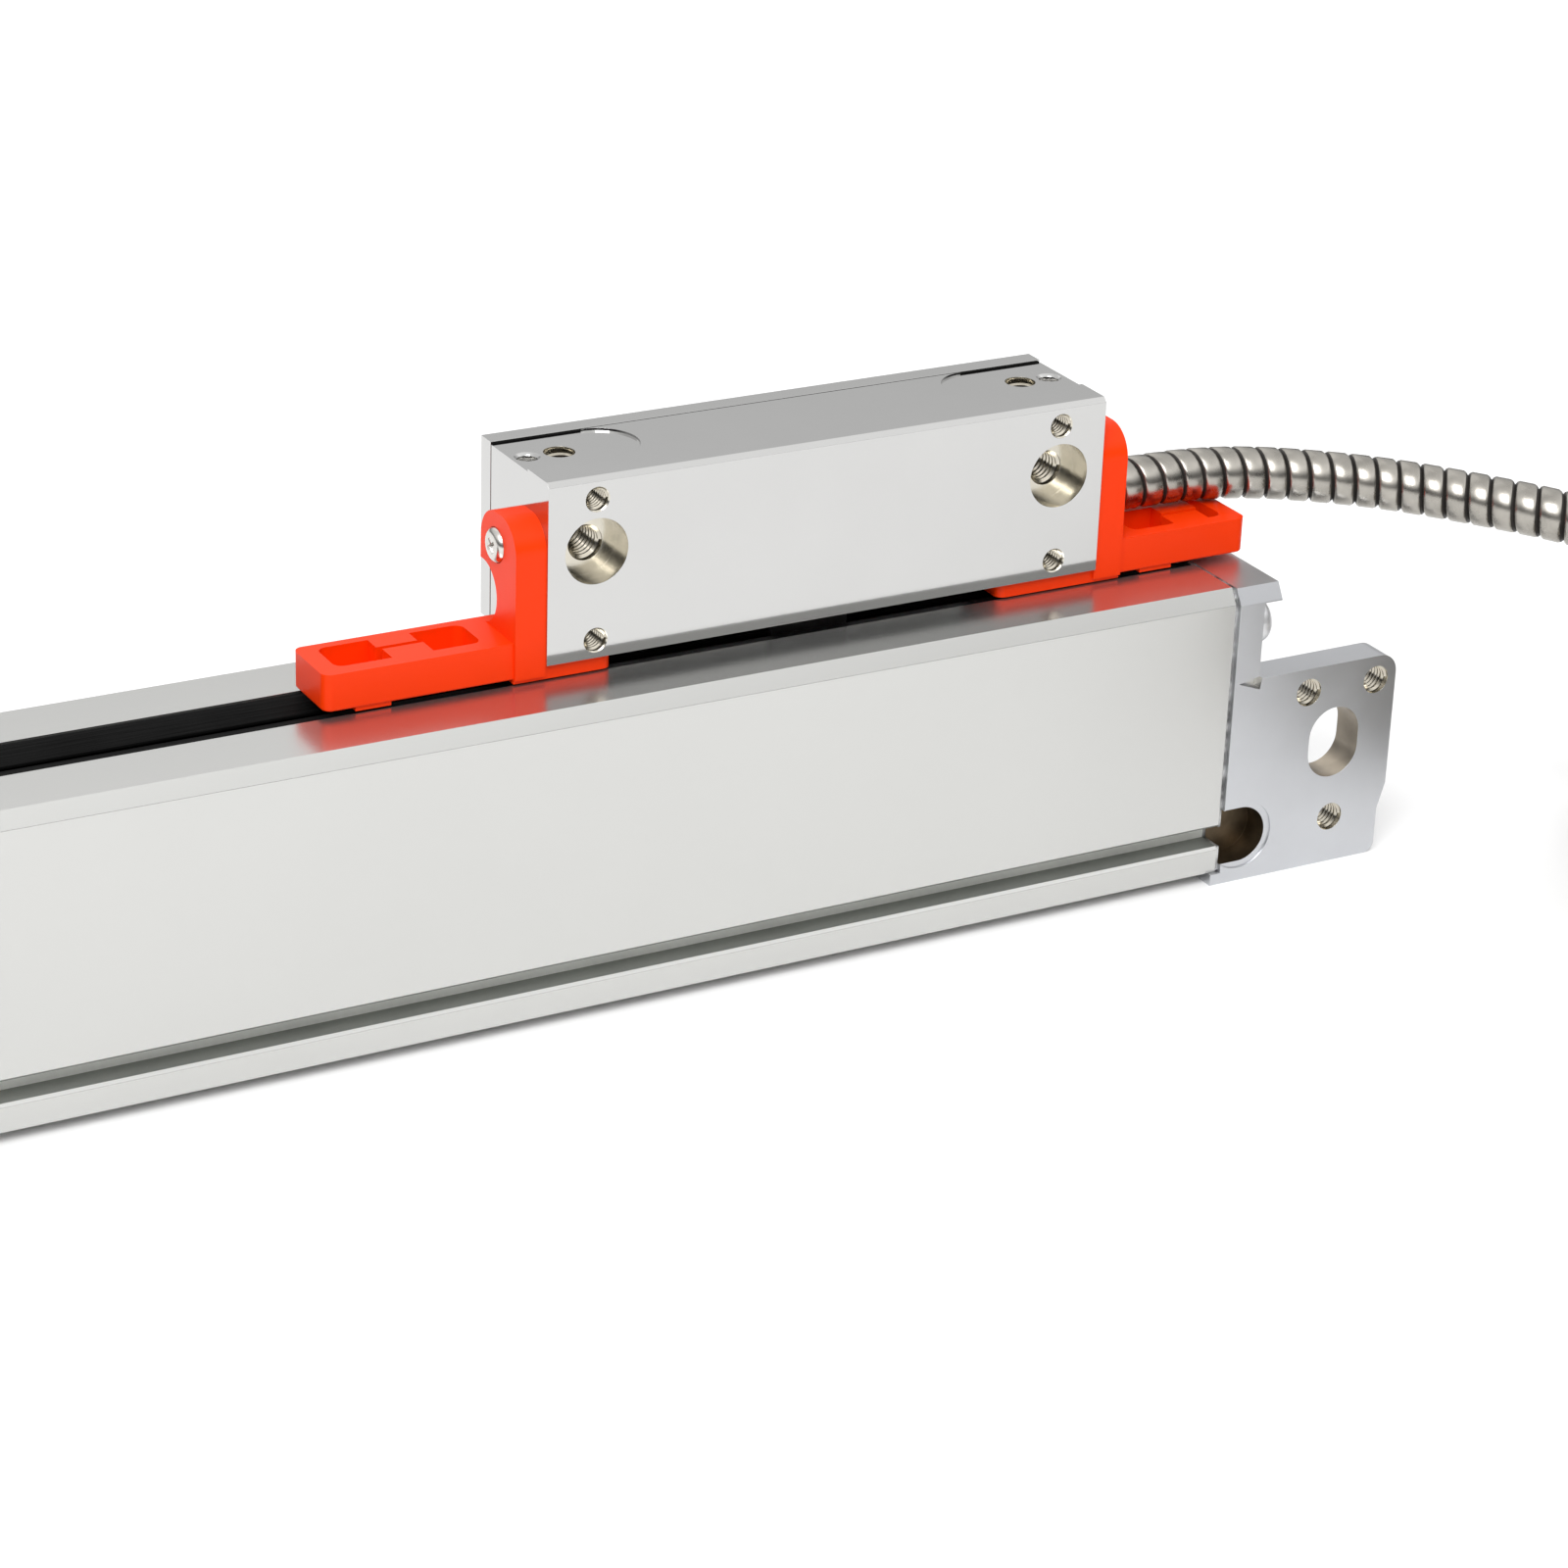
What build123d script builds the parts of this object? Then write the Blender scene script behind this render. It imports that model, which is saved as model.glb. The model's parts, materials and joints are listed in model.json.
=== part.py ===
"""Sealed linear glass scale with its reading head, alignment guards and armoured cable.

Frame: X runs along the scale, -Y is the face seen from the front, +Z is up.
The origin is the middle of the resting plane under the end caps.
"""

from build123d import *
import math
import os

os.makedirs("parts", exist_ok=True)

# Fits
FIT = 0.05                # clearance between pieces that seat on each other
SLIDE = 0.3               # clearance of pieces that slide past each other

# Travel
MEASURING_LENGTH = 150.0
END_ALLOWANCE = 72.0      # extrusion beyond each end of the measuring length
HEAD_X = MEASURING_LENGTH / 2                  # head centre at rest
EXT_LEN = MEASURING_LENGTH + 2 * END_ALLOWANCE

# Housing extrusion
EXT_W = 35.8
EXT_H = 52.2
CAP_DROP = 2.1            # caps reach this far below the extrusion
WALL = 2.4
TOP_CHAMFER_Y = 1.6
TOP_CHAMFER_Z = 2.7
FRONT_Y = -EXT_W / 2
BACK_Y = EXT_W / 2
EXT_Z0 = CAP_DROP
EXT_Z1 = EXT_Z0 + EXT_H
GROOVE_Z = EXT_Z0 + 6.55  # middle of the front groove
GROOVE_H = 3.7
GROOVE_DEPTH = 4.6
GROOVE_FLARE = 0.5        # bevel at the groove's mouth
FLOOR_RIB_Z = EXT_Z0 + 11.4   # top of the rib between the two chambers
CHAMBER_LIFT = 2.6        # lower chamber above the extrusion's underside

# Seal slot and lips
SLOT_Y = 1.1
SLOT_W = 11.8
RAIL_W = 2.6
RAIL_H = 5.6
BEAD_DEPTH = 1.3
BEAD_H = 1.6
BEAD_DROP = 3.0           # middle of the bead groove below the top
LIP_DROP = 0.35           # lips start below the top face
LIP_SLOPE = 1.3
LIP_ROOT = 1.3
LIP_TIP_T = 0.5
ARM_T = 1.2
LIP_GAP = 0.2

# Screw ports for the caps
PORT_R = 3.5
PORT_INSET_Y = 3.8
PORT_DROP = 7.7
PORT_LOW = 5.9            # lower port above the extrusion's underside
M4_CORE_R = 1.65
M4_CLEAR_R = 2.2
M4_HEAD_R = 4.0
M4_HEAD_H = 3.1
CAP_SCREW_GRIP = 12.0

# Glass and its channel
GLASS_Y = 4.8             # graduated face
GLASS_T = 4.0
GLASS_H = 22.0
GLASS_SHORT = 4.0         # glass stops this far inside each end
CHANNEL_WALL = 1.6
CHANNEL_H = 5.5
CUSHION_R = 0.6
CUSHION_Z = 2.6           # cushion above the channel floor

# End caps
GASKET_T = 0.5
GASKET_INSET = 0.2
CAP_T = 4.9
CAP_PROUD = 0.8           # cap stands proud of the extrusion's front
HOOD_D = 3.5              # hood over the screw heads
HOOD_H = 2.9
FOOT_LIP = 1.5            # foot reaches back under the extrusion
EAR_REACH = 34.3          # from the extrusion's end
EAR_STEP = 1.4            # the lower end is this much shorter
EAR_STEP_Z0 = 8.2
EAR_STEP_Z1 = 13.0
EAR_TOP = 37.6
EAR_T = 6.2
EAR_TOP_R = 3.5
EAR_BOTTOM_R = 2.0
EAR_HOLE_R = 2.1
EAR_HOLE_1 = (16.1, 33.2)
EAR_HOLE_2 = (30.1, 33.2)
EAR_HOLE_3 = (22.8, 8.6)
EAR_HOLE_CHAMFER = 0.3
EAR_SLOT = (22.2, 22.9)
EAR_SLOT_W = 10.3
EAR_SLOT_H = 13.0
NOTCH_R = 5.05
NOTCH_X = 4.1
NOTCH_DEPTH = 5.2
NOTCH_RIM = 1.2
RELIEF_D = 2.0            # small relief where neck and ear meet

# Reading head
HEAD_L = 102.0
HEAD_H = 30.4
HEAD_D = 24.9
HEAD_GAP = 2.9            # between extrusion and head
HEAD_PROUD = CAP_PROUD    # head's back behind the extrusion's back
HEAD_Z0 = EXT_Z1 + HEAD_GAP
HEAD_Z1 = HEAD_Z0 + HEAD_H
HEAD_BACK = BACK_Y + HEAD_PROUD
HEAD_FRONT = HEAD_BACK - HEAD_D
BACK_PLATE_T = 3.8
SEAM_T = 0.3
SEAM_Y = HEAD_BACK - BACK_PLATE_T - SEAM_T
HEAD_CHAMFER = 0.8
CAVITY_END = 18.0         # solid end of the head, each side of the cavity
CAVITY_HALF = HEAD_L / 2 - CAVITY_END
CAVITY_WALL = 3.6
CAVITY_FRONT = 5.0
POCKET_D = 0.4
POCKET_FRONT = 7.6
POCKET_L = 22.3
POCKET_INNER = HEAD_L / 2 - POCKET_L
MOUNT_INSET = 8.5         # from the head's ends
MOUNT_X = HEAD_L / 2 - MOUNT_INSET
M6_DROP = 12.4
M6_CORE_R = 2.5
M6_BORE_R = 5.5
M6_BORE_D = 4.3
M6_DEPTH = 18.0
M4_DROP_HIGH = 3.75
M4_DROP_LOW = 27.4
M4_DEPTH = 8.0
EDGE_BREAK = 0.45
TOP_INSET_OUT = 2.8       # from the head's ends
TOP_INSET_IN = 8.4
TOP_HOLE_OUT = HEAD_L / 2 - TOP_INSET_OUT
TOP_HOLE_IN = HEAD_L / 2 - TOP_INSET_IN
TOP_HOLE_Y = 13.6         # behind the head's front
TOP_HOLE_IN_R = 2.1
TOP_HOLE_DEPTH = 8.0
PLATE_SCREW_X = HEAD_L / 2 - 13.5
PLATE_SCREW_INSET = 4.6
PLATE_SCREW_GRIP = 4.0
M3_CORE_R = 1.25
M3_CLEAR_R = 1.6
M3_SINK_R = 3.1

# Guide arm, ball coupling and carriage
ARM_HALF = 7.0
ARM_FLANGE_HALF = 13.0
ARM_FLANGE_T = 1.6
ARM_FLANGE_D = 6.5
ARM_FOOT_HALF_X = 7.5
ARM_FOOT_HALF_Y = 2.5
ARM_FOOT_H = 2.0
M2_R = 1.25
BALL_R = 1.5
BALL_SINK = 0.4
SPRING_T = 0.4
SPRING_REACH = 14.0
ROLLER_R = 3.0
ROLLER_W = 2.5
ROLLER_PIN_R = 1.0
ROLLER_PLAY = 0.05        # radial, pin in roller
ROLLER_OFF = 0.1          # roller to glass
FACE_ROLLER_UP = 14.5     # upper face rollers above the channel floor
FACE_ROLLER_LOW = 9.5
CARRIAGE_HALF = 46.0
FACE_ROLLER_X = CARRIAGE_HALF - 8.0
EDGE_ROLLER_X = CARRIAGE_HALF - 19.0
CARRIAGE_BACK = -1.8      # side plate's back face
CARRIAGE_T = 4.6
BRIDGE_T = 5.0
LUG_T = 1.6
LUG_HALF = 3.4
ROLLER_SIDE = 0.2         # roller to lug
LEG_HALF = 12.0
LEG_T = 3.4
LEG_Y = 10.8
RETICLE = (20.0, 1.2, 7.5)
RETICLE_GAP = 0.4
BOARD_T = 1.2
LED_R = 2.5

# Electronics in the head
BOARD_CLEAR = 4.0         # from the cavity's ends
HEAD_BOARD = (2 * (CAVITY_HALF - BOARD_CLEAR), 1.6, 16.0)
HEAD_BOARD_Y = 11.4       # behind the head's front
STANDOFF_R = 2.5
STANDOFF_INSET = 9.0      # from the cavity's ends
STANDOFF_X = CAVITY_HALF - STANDOFF_INSET

# Guards
BAR_FRONT = -5.2
BAR_BACK = 7.3
BAR_TOP = 61.5
GUARD_LIFT = 0.3          # feet above the extrusion
BAR_LIFT = 1.0            # bar above the extrusion
POST_T = 5.3
POST_FRONT = -5.75
POST_R = 5.5
GUARD_SCREW_Y = 1.6
GUARD_SCREW_Z = 75.7
M3_PAN_R = 2.9
M3_PAN_H = 1.9
PAN_SINK = 1.0
GUARD_SCREW_GRIP = 5.0
POCKET_NEAR = 9.5
POCKET_END_WALL = 3.2
POCKET_Y0 = -2.5
POCKET_Y1 = 5.6
POCKET_DEPTH = 4.2
POCKET_CORNER = 1.6
TAB_NEAR = 17.8
TAB_LEN = 7.0
TAB_OFFSET = 0.6
TAB_SLOT = 1.0
GUARD_LEFT = {"tongue": 12.0, "reach": 37.4, "foot_near": 26.0, "foot_far": 32.0}
GUARD_RIGHT = {"tongue": 18.4, "reach": 30.8, "foot_near": 9.9, "foot_far": 16.2}

# Armoured hose
HOSE_R = 4.5
HOSE_Y = 6.3
HOSE_Z = 66.6
HOSE_GRIP = 8.0
GLAND_R = 5.4
GLAND_L = 11.0
WIRE_R = 3.0
HOSE_RELIEF = 0.7         # guard's cut around the hose
HOSE_ROUTE = [
    (138.0, 6.3, 66.6),
    (158.5, 5.5, 66.3),
    (179.0, -2.6, 64.5),
    (193.0, -12.5, 63.1),
    (210.5, -33.0, 61.9),
    (238.4, -46.0, 51.5),
    (266.0, -46.0, 42.1),
    (288.0, -46.0, 42.1),
]
HANK_X = 238.0            # middle of the left fold
HANK_Y = -73.5            # middle between the two runs
HANK_RUN = 68.0           # straight part of a run
FOLD_R = 32.05            # middle of the strands at a fold
COIL_PITCH = 9.1
COIL_LAYERS = 4
COIL_COLUMNS = 2
TIE_T = 1.15
TIE_W = 12.0
TIE_X = 258.0
TAIL_ROUTE = [
    (300.0, -101.0, 42.1),
    (283.0, -101.0, 42.1),
    (266.0, -96.0, 45.05),
    (249.0, -96.0, 45.05),
]

# Connector on the hose
PLUG_L = 40.0
PLUG_W = 34.0
PLUG_H = 15.0
PLUG_WALL = 1.6
PLUG_NECK = 9.5           # half width of the neck
PLUG_WING = 16.0          # length of the wide end
PLUG_SOLID = 9.0          # solid length around the hose
PLUG_GRIP = 7.0           # hose inside the hood
PLUG_FACE_T = 0.8
PLUG_FACE_W = 30.8
PLUG_FACE_H = 12.5
DSHELL_W = 18.0
DSHELL_H = 9.6
DSHELL_L = 5.8
DSHELL_T = 0.5
DSHELL_TAPER = 1.6
INSERT_BACK = 6.0
PIN_PITCH = 2.77
PIN_ROW = 2.84
PIN_R = 0.55
JACK_SPAN = 24.99
JACK_R = 1.5
JACK_HEAD_R = 2.6
JACK_HEAD_L = 7.0
JACK_OUT = 5.0
HOOD_SCREW_R = 1.1
HOOD_SCREW_X = 7.2
HOOD_SCREW_Y = 4.5


def save(part, name):
    """Label a finished piece and write its file."""
    part.label = name
    export_step(part, f"parts/{name}.step")


def slot_edge(side):
    """Y of the seal slot's edge, side -1 in front and +1 behind."""
    return SLOT_Y + side * SLOT_W / 2


CAVITY_Y = EXT_W / 2 - WALL
CAVITY_Z1 = EXT_Z1 - WALL
PORTS = [
    (FRONT_Y + PORT_INSET_Y, EXT_Z1 - PORT_DROP),
    (BACK_Y - PORT_INSET_Y, EXT_Z1 - PORT_DROP),
    (BACK_Y - PORT_INSET_Y, EXT_Z0 + PORT_LOW),
]
GLASS_Z0 = FLOOR_RIB_Z + FIT
GLASS_Z1 = GLASS_Z0 + GLASS_H
CUSHION_Y = GLASS_Y + GLASS_T + FIT + CUSHION_R
CHANNEL_BACK = CUSHION_Y + CUSHION_R + FIT


def extrusion_outline(inset=0.0):
    """Outer section of the extrusion on the YZ plane, chamfered at its top front edge."""
    with BuildLine() as line:
        Polyline(
            (FRONT_Y + inset, EXT_Z0 + inset),
            (BACK_Y - inset, EXT_Z0 + inset),
            (BACK_Y - inset, EXT_Z1 - inset),
            (FRONT_Y + TOP_CHAMFER_Y + inset, EXT_Z1 - inset),
            (FRONT_Y + inset, EXT_Z1 - TOP_CHAMFER_Z - inset),
            close=True,
        )
    return line.line


# Housing extrusion: outer wall, two chambers, seal rails, glass channel and screw ports
with BuildPart() as housing_extrusion:
    with BuildSketch(Plane.YZ.offset(-EXT_LEN / 2)):
        make_face(extrusion_outline())
        with Locations((0, (FLOOR_RIB_Z + CAVITY_Z1) / 2)):
            Rectangle(2 * CAVITY_Y, CAVITY_Z1 - FLOOR_RIB_Z, mode=Mode.SUBTRACT)
        chamber_y0 = FRONT_Y + GROOVE_DEPTH + WALL
        chamber_z1 = FLOOR_RIB_Z - WALL
        chamber_z0 = EXT_Z0 + CHAMBER_LIFT
        with Locations(((chamber_y0 + CAVITY_Y) / 2, (chamber_z0 + chamber_z1) / 2)):
            Rectangle(CAVITY_Y - chamber_y0, chamber_z1 - chamber_z0, mode=Mode.SUBTRACT)
        with Locations((FRONT_Y + GROOVE_DEPTH / 2, GROOVE_Z)):
            Rectangle(GROOVE_DEPTH, GROOVE_H, mode=Mode.SUBTRACT)
        with BuildLine():
            Polyline(
                (FRONT_Y, GROOVE_Z - GROOVE_H / 2 - GROOVE_FLARE),
                (FRONT_Y + GROOVE_FLARE, GROOVE_Z - GROOVE_H / 2),
                (FRONT_Y + GROOVE_FLARE, GROOVE_Z + GROOVE_H / 2),
                (FRONT_Y, GROOVE_Z + GROOVE_H / 2 + GROOVE_FLARE),
                close=True,
            )
        make_face(mode=Mode.SUBTRACT)
        with Locations((SLOT_Y, EXT_Z1 - RAIL_H / 2)):
            Rectangle(SLOT_W + 2 * RAIL_W, RAIL_H)
            Rectangle(SLOT_W, RAIL_H, mode=Mode.SUBTRACT)
        with Locations((SLOT_Y, EXT_Z1 - BEAD_DROP)):
            Rectangle(SLOT_W + 2 * BEAD_DEPTH, BEAD_H, mode=Mode.SUBTRACT)
        channel_z = FLOOR_RIB_Z + CHANNEL_H / 2
        with Locations(
            (GLASS_Y - FIT - CHANNEL_WALL / 2, channel_z),
            (CHANNEL_BACK + CHANNEL_WALL / 2, channel_z),
        ):
            Rectangle(CHANNEL_WALL, CHANNEL_H)
        with Locations(*PORTS):
            Circle(PORT_R)
            Circle(M4_CORE_R, mode=Mode.SUBTRACT)
    extrude(amount=EXT_LEN)
save(housing_extrusion.part, "housing_extrusion")

# Glass scale and the cushion cord that wedges it in its channel
GLASS_LEN = EXT_LEN - 2 * GLASS_SHORT
with BuildPart() as glass_scale:
    with Locations((0, GLASS_Y + GLASS_T / 2, (GLASS_Z0 + GLASS_Z1) / 2)):
        Box(GLASS_LEN, GLASS_T, GLASS_H)
save(glass_scale.part, "glass_scale")

with BuildPart() as glass_cushion_cord:
    with BuildSketch(Plane.YZ.offset(-GLASS_LEN / 2)):
        with Locations((CUSHION_Y, FLOOR_RIB_Z + CUSHION_Z)):
            Circle(CUSHION_R)
    extrude(amount=GLASS_LEN)
save(glass_cushion_cord.part, "glass_cushion_cord")

# Seal lips, each held by a bead in the slot's side
for side, name in ((-1, "lip_seal_front"), (1, "lip_seal_back")):
    top = EXT_Z1 - LIP_DROP
    bead_z = EXT_Z1 - BEAD_DROP
    half_bead = BEAD_H / 2 - FIT
    reach = SLOT_W / 2 - ARM_T / 2 - LIP_GAP
    tip_top = top - LIP_SLOPE
    section = [
        (FIT - BEAD_DEPTH, bead_z - half_bead),
        (FIT, bead_z - half_bead),
        (FIT, EXT_Z1 - RAIL_H + FIT),
        (LIP_ROOT, EXT_Z1 - RAIL_H + FIT),
        (LIP_ROOT, tip_top - LIP_TIP_T - FIT),
        (reach, tip_top - LIP_TIP_T),
        (reach, tip_top),
        (LIP_ROOT, top),
        (FIT, top),
        (FIT, bead_z + half_bead),
        (FIT - BEAD_DEPTH, bead_z + half_bead),
    ]
    with BuildPart() as lip:
        with BuildSketch(Plane.YZ.offset(-EXT_LEN / 2)):
            with BuildLine():
                Polyline(*[(slot_edge(side) - side * s, z) for s, z in section], close=True)
            make_face()
        extrude(amount=EXT_LEN)
    save(lip.part, name)


def spots(plane, points):
    """Locations on a plane, given in its own two directions."""
    return [plane.location * Location((u, v, 0)) for u, v in points]


def end_gasket():
    """Flat gasket between the extrusion's right end and its cap."""
    with BuildPart() as gasket:
        with BuildSketch(Plane.YZ.offset(EXT_LEN / 2)):
            make_face(extrusion_outline(GASKET_INSET))
            with Locations((0, (FLOOR_RIB_Z + CAVITY_Z1) / 2)):
                Rectangle(2 * CAVITY_Y, CAVITY_Z1 - FLOOR_RIB_Z, mode=Mode.SUBTRACT)
            with Locations((FRONT_Y, GROOVE_Z)):
                Rectangle(2 * GROOVE_DEPTH, GROOVE_H, mode=Mode.SUBTRACT)
            with Locations(*PORTS):
                Circle(PORT_R - GASKET_INSET)
                Circle(M4_CLEAR_R, mode=Mode.SUBTRACT)
        extrude(amount=GASKET_T)
    return gasket.part


CAP_X0 = EXT_LEN / 2 + GASKET_T
CAP_X1 = CAP_X0 + CAP_T
CAP_FRONT = FRONT_Y - CAP_PROUD


def end_cap():
    """Die-cast right cap: end plate, hood over the screws, foot and mounting ear."""
    edge = EXT_LEN / 2
    ear_x = edge + EAR_REACH
    front = Plane.XZ.offset(-CAP_FRONT)

    with BuildPart() as cap:
        for x, depth, z_low in ((CAP_X0, CAP_T, 0), (CAP_X1, HOOD_D, EXT_Z1 - HOOD_H)):
            with BuildSketch(Plane.YZ.offset(x)):
                with BuildLine():
                    Polyline(
                        (CAP_FRONT, z_low),
                        (BACK_Y, z_low),
                        (BACK_Y, EXT_Z1),
                        (CAP_FRONT + TOP_CHAMFER_Y, EXT_Z1),
                        (CAP_FRONT, EXT_Z1 - TOP_CHAMFER_Z),
                        close=True,
                    )
                make_face()
            extrude(amount=depth)
        with Locations((edge - FOOT_LIP, CAP_FRONT, 0)):
            Box(
                FOOT_LIP + GASKET_T,
                BACK_Y - CAP_FRONT,
                EXT_Z0 - FIT,
                align=(Align.MIN, Align.MIN, Align.MIN),
            )
        with BuildSketch(front):
            with BuildLine():
                Polyline(
                    (CAP_X0, 0),
                    (ear_x - EAR_STEP, 0),
                    (ear_x - EAR_STEP, EAR_STEP_Z0),
                    (ear_x, EAR_STEP_Z1),
                    (ear_x, EAR_TOP),
                    (CAP_X0, EAR_TOP),
                    close=True,
                )
            make_face()
        extrude(amount=-EAR_T)
        for corner, radius in (((ear_x, EAR_TOP), EAR_TOP_R), ((ear_x - EAR_STEP, 0), EAR_BOTTOM_R)):
            target = (corner[0], CAP_FRONT + EAR_T / 2, corner[1])
            fillet(cap.edges().filter_by(Axis.Y).sort_by_distance(target)[0], radius)

        with BuildSketch(front):
            with Locations((edge + EAR_SLOT[0], EAR_SLOT[1])):
                SlotOverall(EAR_SLOT_H, EAR_SLOT_W, rotation=90)
        extrude(amount=-EAR_T, mode=Mode.SUBTRACT)
        for radius, depth in ((NOTCH_R, NOTCH_DEPTH), (NOTCH_R + NOTCH_RIM, EAR_HOLE_CHAMFER)):
            with BuildSketch(front):
                with Locations((edge + NOTCH_X, GROOVE_Z)):
                    Circle(radius)
                    Rectangle(NOTCH_X, 2 * NOTCH_R, align=(Align.MAX, Align.CENTER))
            extrude(amount=-depth, mode=Mode.SUBTRACT)
        with BuildSketch(front):
            with BuildLine():
                Polyline(
                    (CAP_X0 + 0.9, EAR_TOP - 0.4),
                    (CAP_X1 + 0.8, EAR_TOP + 0.6),
                    (CAP_X1 + 0.3, EAR_TOP - RELIEF_D),
                    close=True,
                )
            make_face()
        extrude(amount=-RELIEF_D, mode=Mode.SUBTRACT)
        ear_holes = [(edge + x, z) for x, z in (EAR_HOLE_1, EAR_HOLE_2, EAR_HOLE_3)]
        with Locations(*spots(front, ear_holes)):
            Hole(EAR_HOLE_R, depth=EAR_T)
        with Locations(*spots(Plane.YZ.offset(CAP_X1), PORTS)):
            Hole(M4_CLEAR_R, depth=CAP_T)
    return cap.part


def cap_screws():
    """Pan head screws that hold the right cap."""
    with BuildPart() as screws:
        with BuildSketch(Plane.YZ.offset(CAP_X1)):
            with Locations(*PORTS):
                Circle(M4_HEAD_R)
        extrude(amount=M4_HEAD_H)
        fillet(screws.edges().filter_by(GeomType.CIRCLE).group_by(Axis.X)[-1], 0.6 * M4_HEAD_H)
        with BuildSketch(Plane.YZ.offset(CAP_X1)):
            with Locations(*PORTS):
                Circle(M4_CORE_R - FIT)
        extrude(amount=-(CAP_T + GASKET_T + CAP_SCREW_GRIP))
    return screws.part


for part, name in ((end_gasket(), "end_gasket"), (end_cap(), "end_cap"), (cap_screws(), "end_cap_screws")):
    save(part, f"{name}_right")
    save(mirror(part, about=Plane.YZ), f"{name}_left")

# Reading head block: chrome casting with an electronics cavity open at its back
HEAD_PLANE = Plane.XZ.offset(-HEAD_FRONT).shift_origin((HEAD_X, HEAD_FRONT, HEAD_Z1))
SEAM_PLANE = Plane.XZ.offset(-SEAM_Y).shift_origin((HEAD_X, SEAM_Y, HEAD_Z1))
M6_SPOTS = [(side * MOUNT_X, -M6_DROP) for side in (-1, 1)]
M4_SPOTS = [(side * MOUNT_X, -drop) for side in (-1, 1) for drop in (M4_DROP_HIGH, M4_DROP_LOW)]
PLATE_SPOTS = [
    (side * PLATE_SCREW_X, z) for side in (-1, 1) for z in (-PLATE_SCREW_INSET, PLATE_SCREW_INSET - HEAD_H)
]
TOP_Y = HEAD_FRONT + TOP_HOLE_Y
POCKET_Z = HEAD_Z1 - POCKET_D
ARM_Y = SLOT_Y
POCKET_WIDTH = SEAM_Y - HEAD_FRONT - POCKET_FRONT
FLOOR_TOP = HEAD_Z0 + CAVITY_WALL
ARM_SCREW_X = ARM_HALF + (ARM_FLANGE_HALF - ARM_HALF) / 2
ARM_SCREW_Y = ARM_Y + ARM_FLANGE_D / 2
END_POINTS = [(side, HEAD_X + side * HEAD_L / 2) for side in (-1, 1)]

with BuildPart() as head_block:
    with Locations((HEAD_X, HEAD_FRONT, HEAD_Z0)):
        Box(HEAD_L, SEAM_Y - HEAD_FRONT, HEAD_H, align=(Align.CENTER, Align.MIN, Align.MIN))
    chamfer(head_block.edges().filter_by(Axis.X).sort_by(Axis.Z)[-2:].sort_by(Axis.Y)[0], HEAD_CHAMFER)
    with Locations((HEAD_X, SEAM_Y, FLOOR_TOP)):
        Box(
            2 * CAVITY_HALF,
            SEAM_Y - HEAD_FRONT - CAVITY_FRONT,
            HEAD_H - 2 * CAVITY_WALL,
            align=(Align.CENTER, Align.MAX, Align.MIN),
            mode=Mode.SUBTRACT,
        )
    with BuildSketch(Plane.XY.offset(HEAD_Z1)):
        for side, end_x in END_POINTS:
            inner_x = HEAD_X + side * (POCKET_INNER + POCKET_WIDTH / 2)
            middle_y = SEAM_Y - POCKET_WIDTH / 2
            with Locations((inner_x, middle_y)):
                Circle(POCKET_WIDTH / 2)
            with Locations(((inner_x + end_x) / 2, middle_y)):
                Rectangle(abs(end_x - inner_x), POCKET_WIDTH)
    extrude(amount=-POCKET_D, mode=Mode.SUBTRACT)
    with Locations(*spots(HEAD_PLANE, M6_SPOTS)):
        CounterBoreHole(M6_CORE_R, M6_BORE_R, M6_BORE_D, depth=M6_DEPTH)
    with Locations(*spots(HEAD_PLANE, M4_SPOTS)):
        CounterSinkHole(M4_CORE_R, M4_CORE_R + EDGE_BREAK, depth=M4_DEPTH, counter_sink_angle=90)
    for side, end_x in END_POINTS:
        with Locations((HEAD_X + side * TOP_HOLE_OUT, TOP_Y, POCKET_Z)):
            CounterSinkHole(M4_CORE_R, M4_CORE_R + EDGE_BREAK, depth=TOP_HOLE_DEPTH, counter_sink_angle=90)
        with Locations((HEAD_X + side * TOP_HOLE_IN, TOP_Y, POCKET_Z)):
            CounterSinkHole(TOP_HOLE_IN_R, TOP_HOLE_IN_R + EDGE_BREAK, depth=TOP_HOLE_DEPTH, counter_sink_angle=90)
        with Locations(Location((end_x, GUARD_SCREW_Y, GUARD_SCREW_Z), (0, 90, 0))):
            Hole(M3_CORE_R, depth=GUARD_SCREW_GRIP)
    with Locations(*spots(SEAM_PLANE, PLATE_SPOTS)):
        Hole(M3_CORE_R, depth=PLATE_SCREW_GRIP)
    with Locations((HEAD_X, ARM_Y, FLOOR_TOP)):
        Box(2 * (ARM_HALF + FIT), ARM_T + 2 * FIT, 2 * CAVITY_WALL, mode=Mode.SUBTRACT)
    with Locations(*[(HEAD_X + side * ARM_SCREW_X, ARM_SCREW_Y, FLOOR_TOP) for side in (-1, 1)]):
        Hole(M2_R - FIT, depth=CAVITY_WALL - CHANNEL_WALL / 2)
    right_end = HEAD_X + HEAD_L / 2
    with Locations(Location((right_end, HOSE_Y, HOSE_Z), (0, 90, 0))):
        Hole(GLAND_R + FIT, depth=GLAND_L)
        Hole(WIRE_R, depth=HEAD_L / 2 - CAVITY_HALF + 1)
save(head_block.part, "head_block")

with BuildPart() as head_gasket:
    with BuildSketch(SEAM_PLANE):
        with Locations((0, -HEAD_H / 2)):
            Rectangle(HEAD_L - 2 * GASKET_INSET, HEAD_H - 2 * GASKET_INSET)
            Rectangle(2 * CAVITY_HALF, HEAD_H - 2 * CAVITY_WALL, mode=Mode.SUBTRACT)
        with Locations(*PLATE_SPOTS):
            Circle(M3_CLEAR_R, mode=Mode.SUBTRACT)
    extrude(amount=-SEAM_T)
save(head_gasket.part, "head_gasket")

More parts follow.
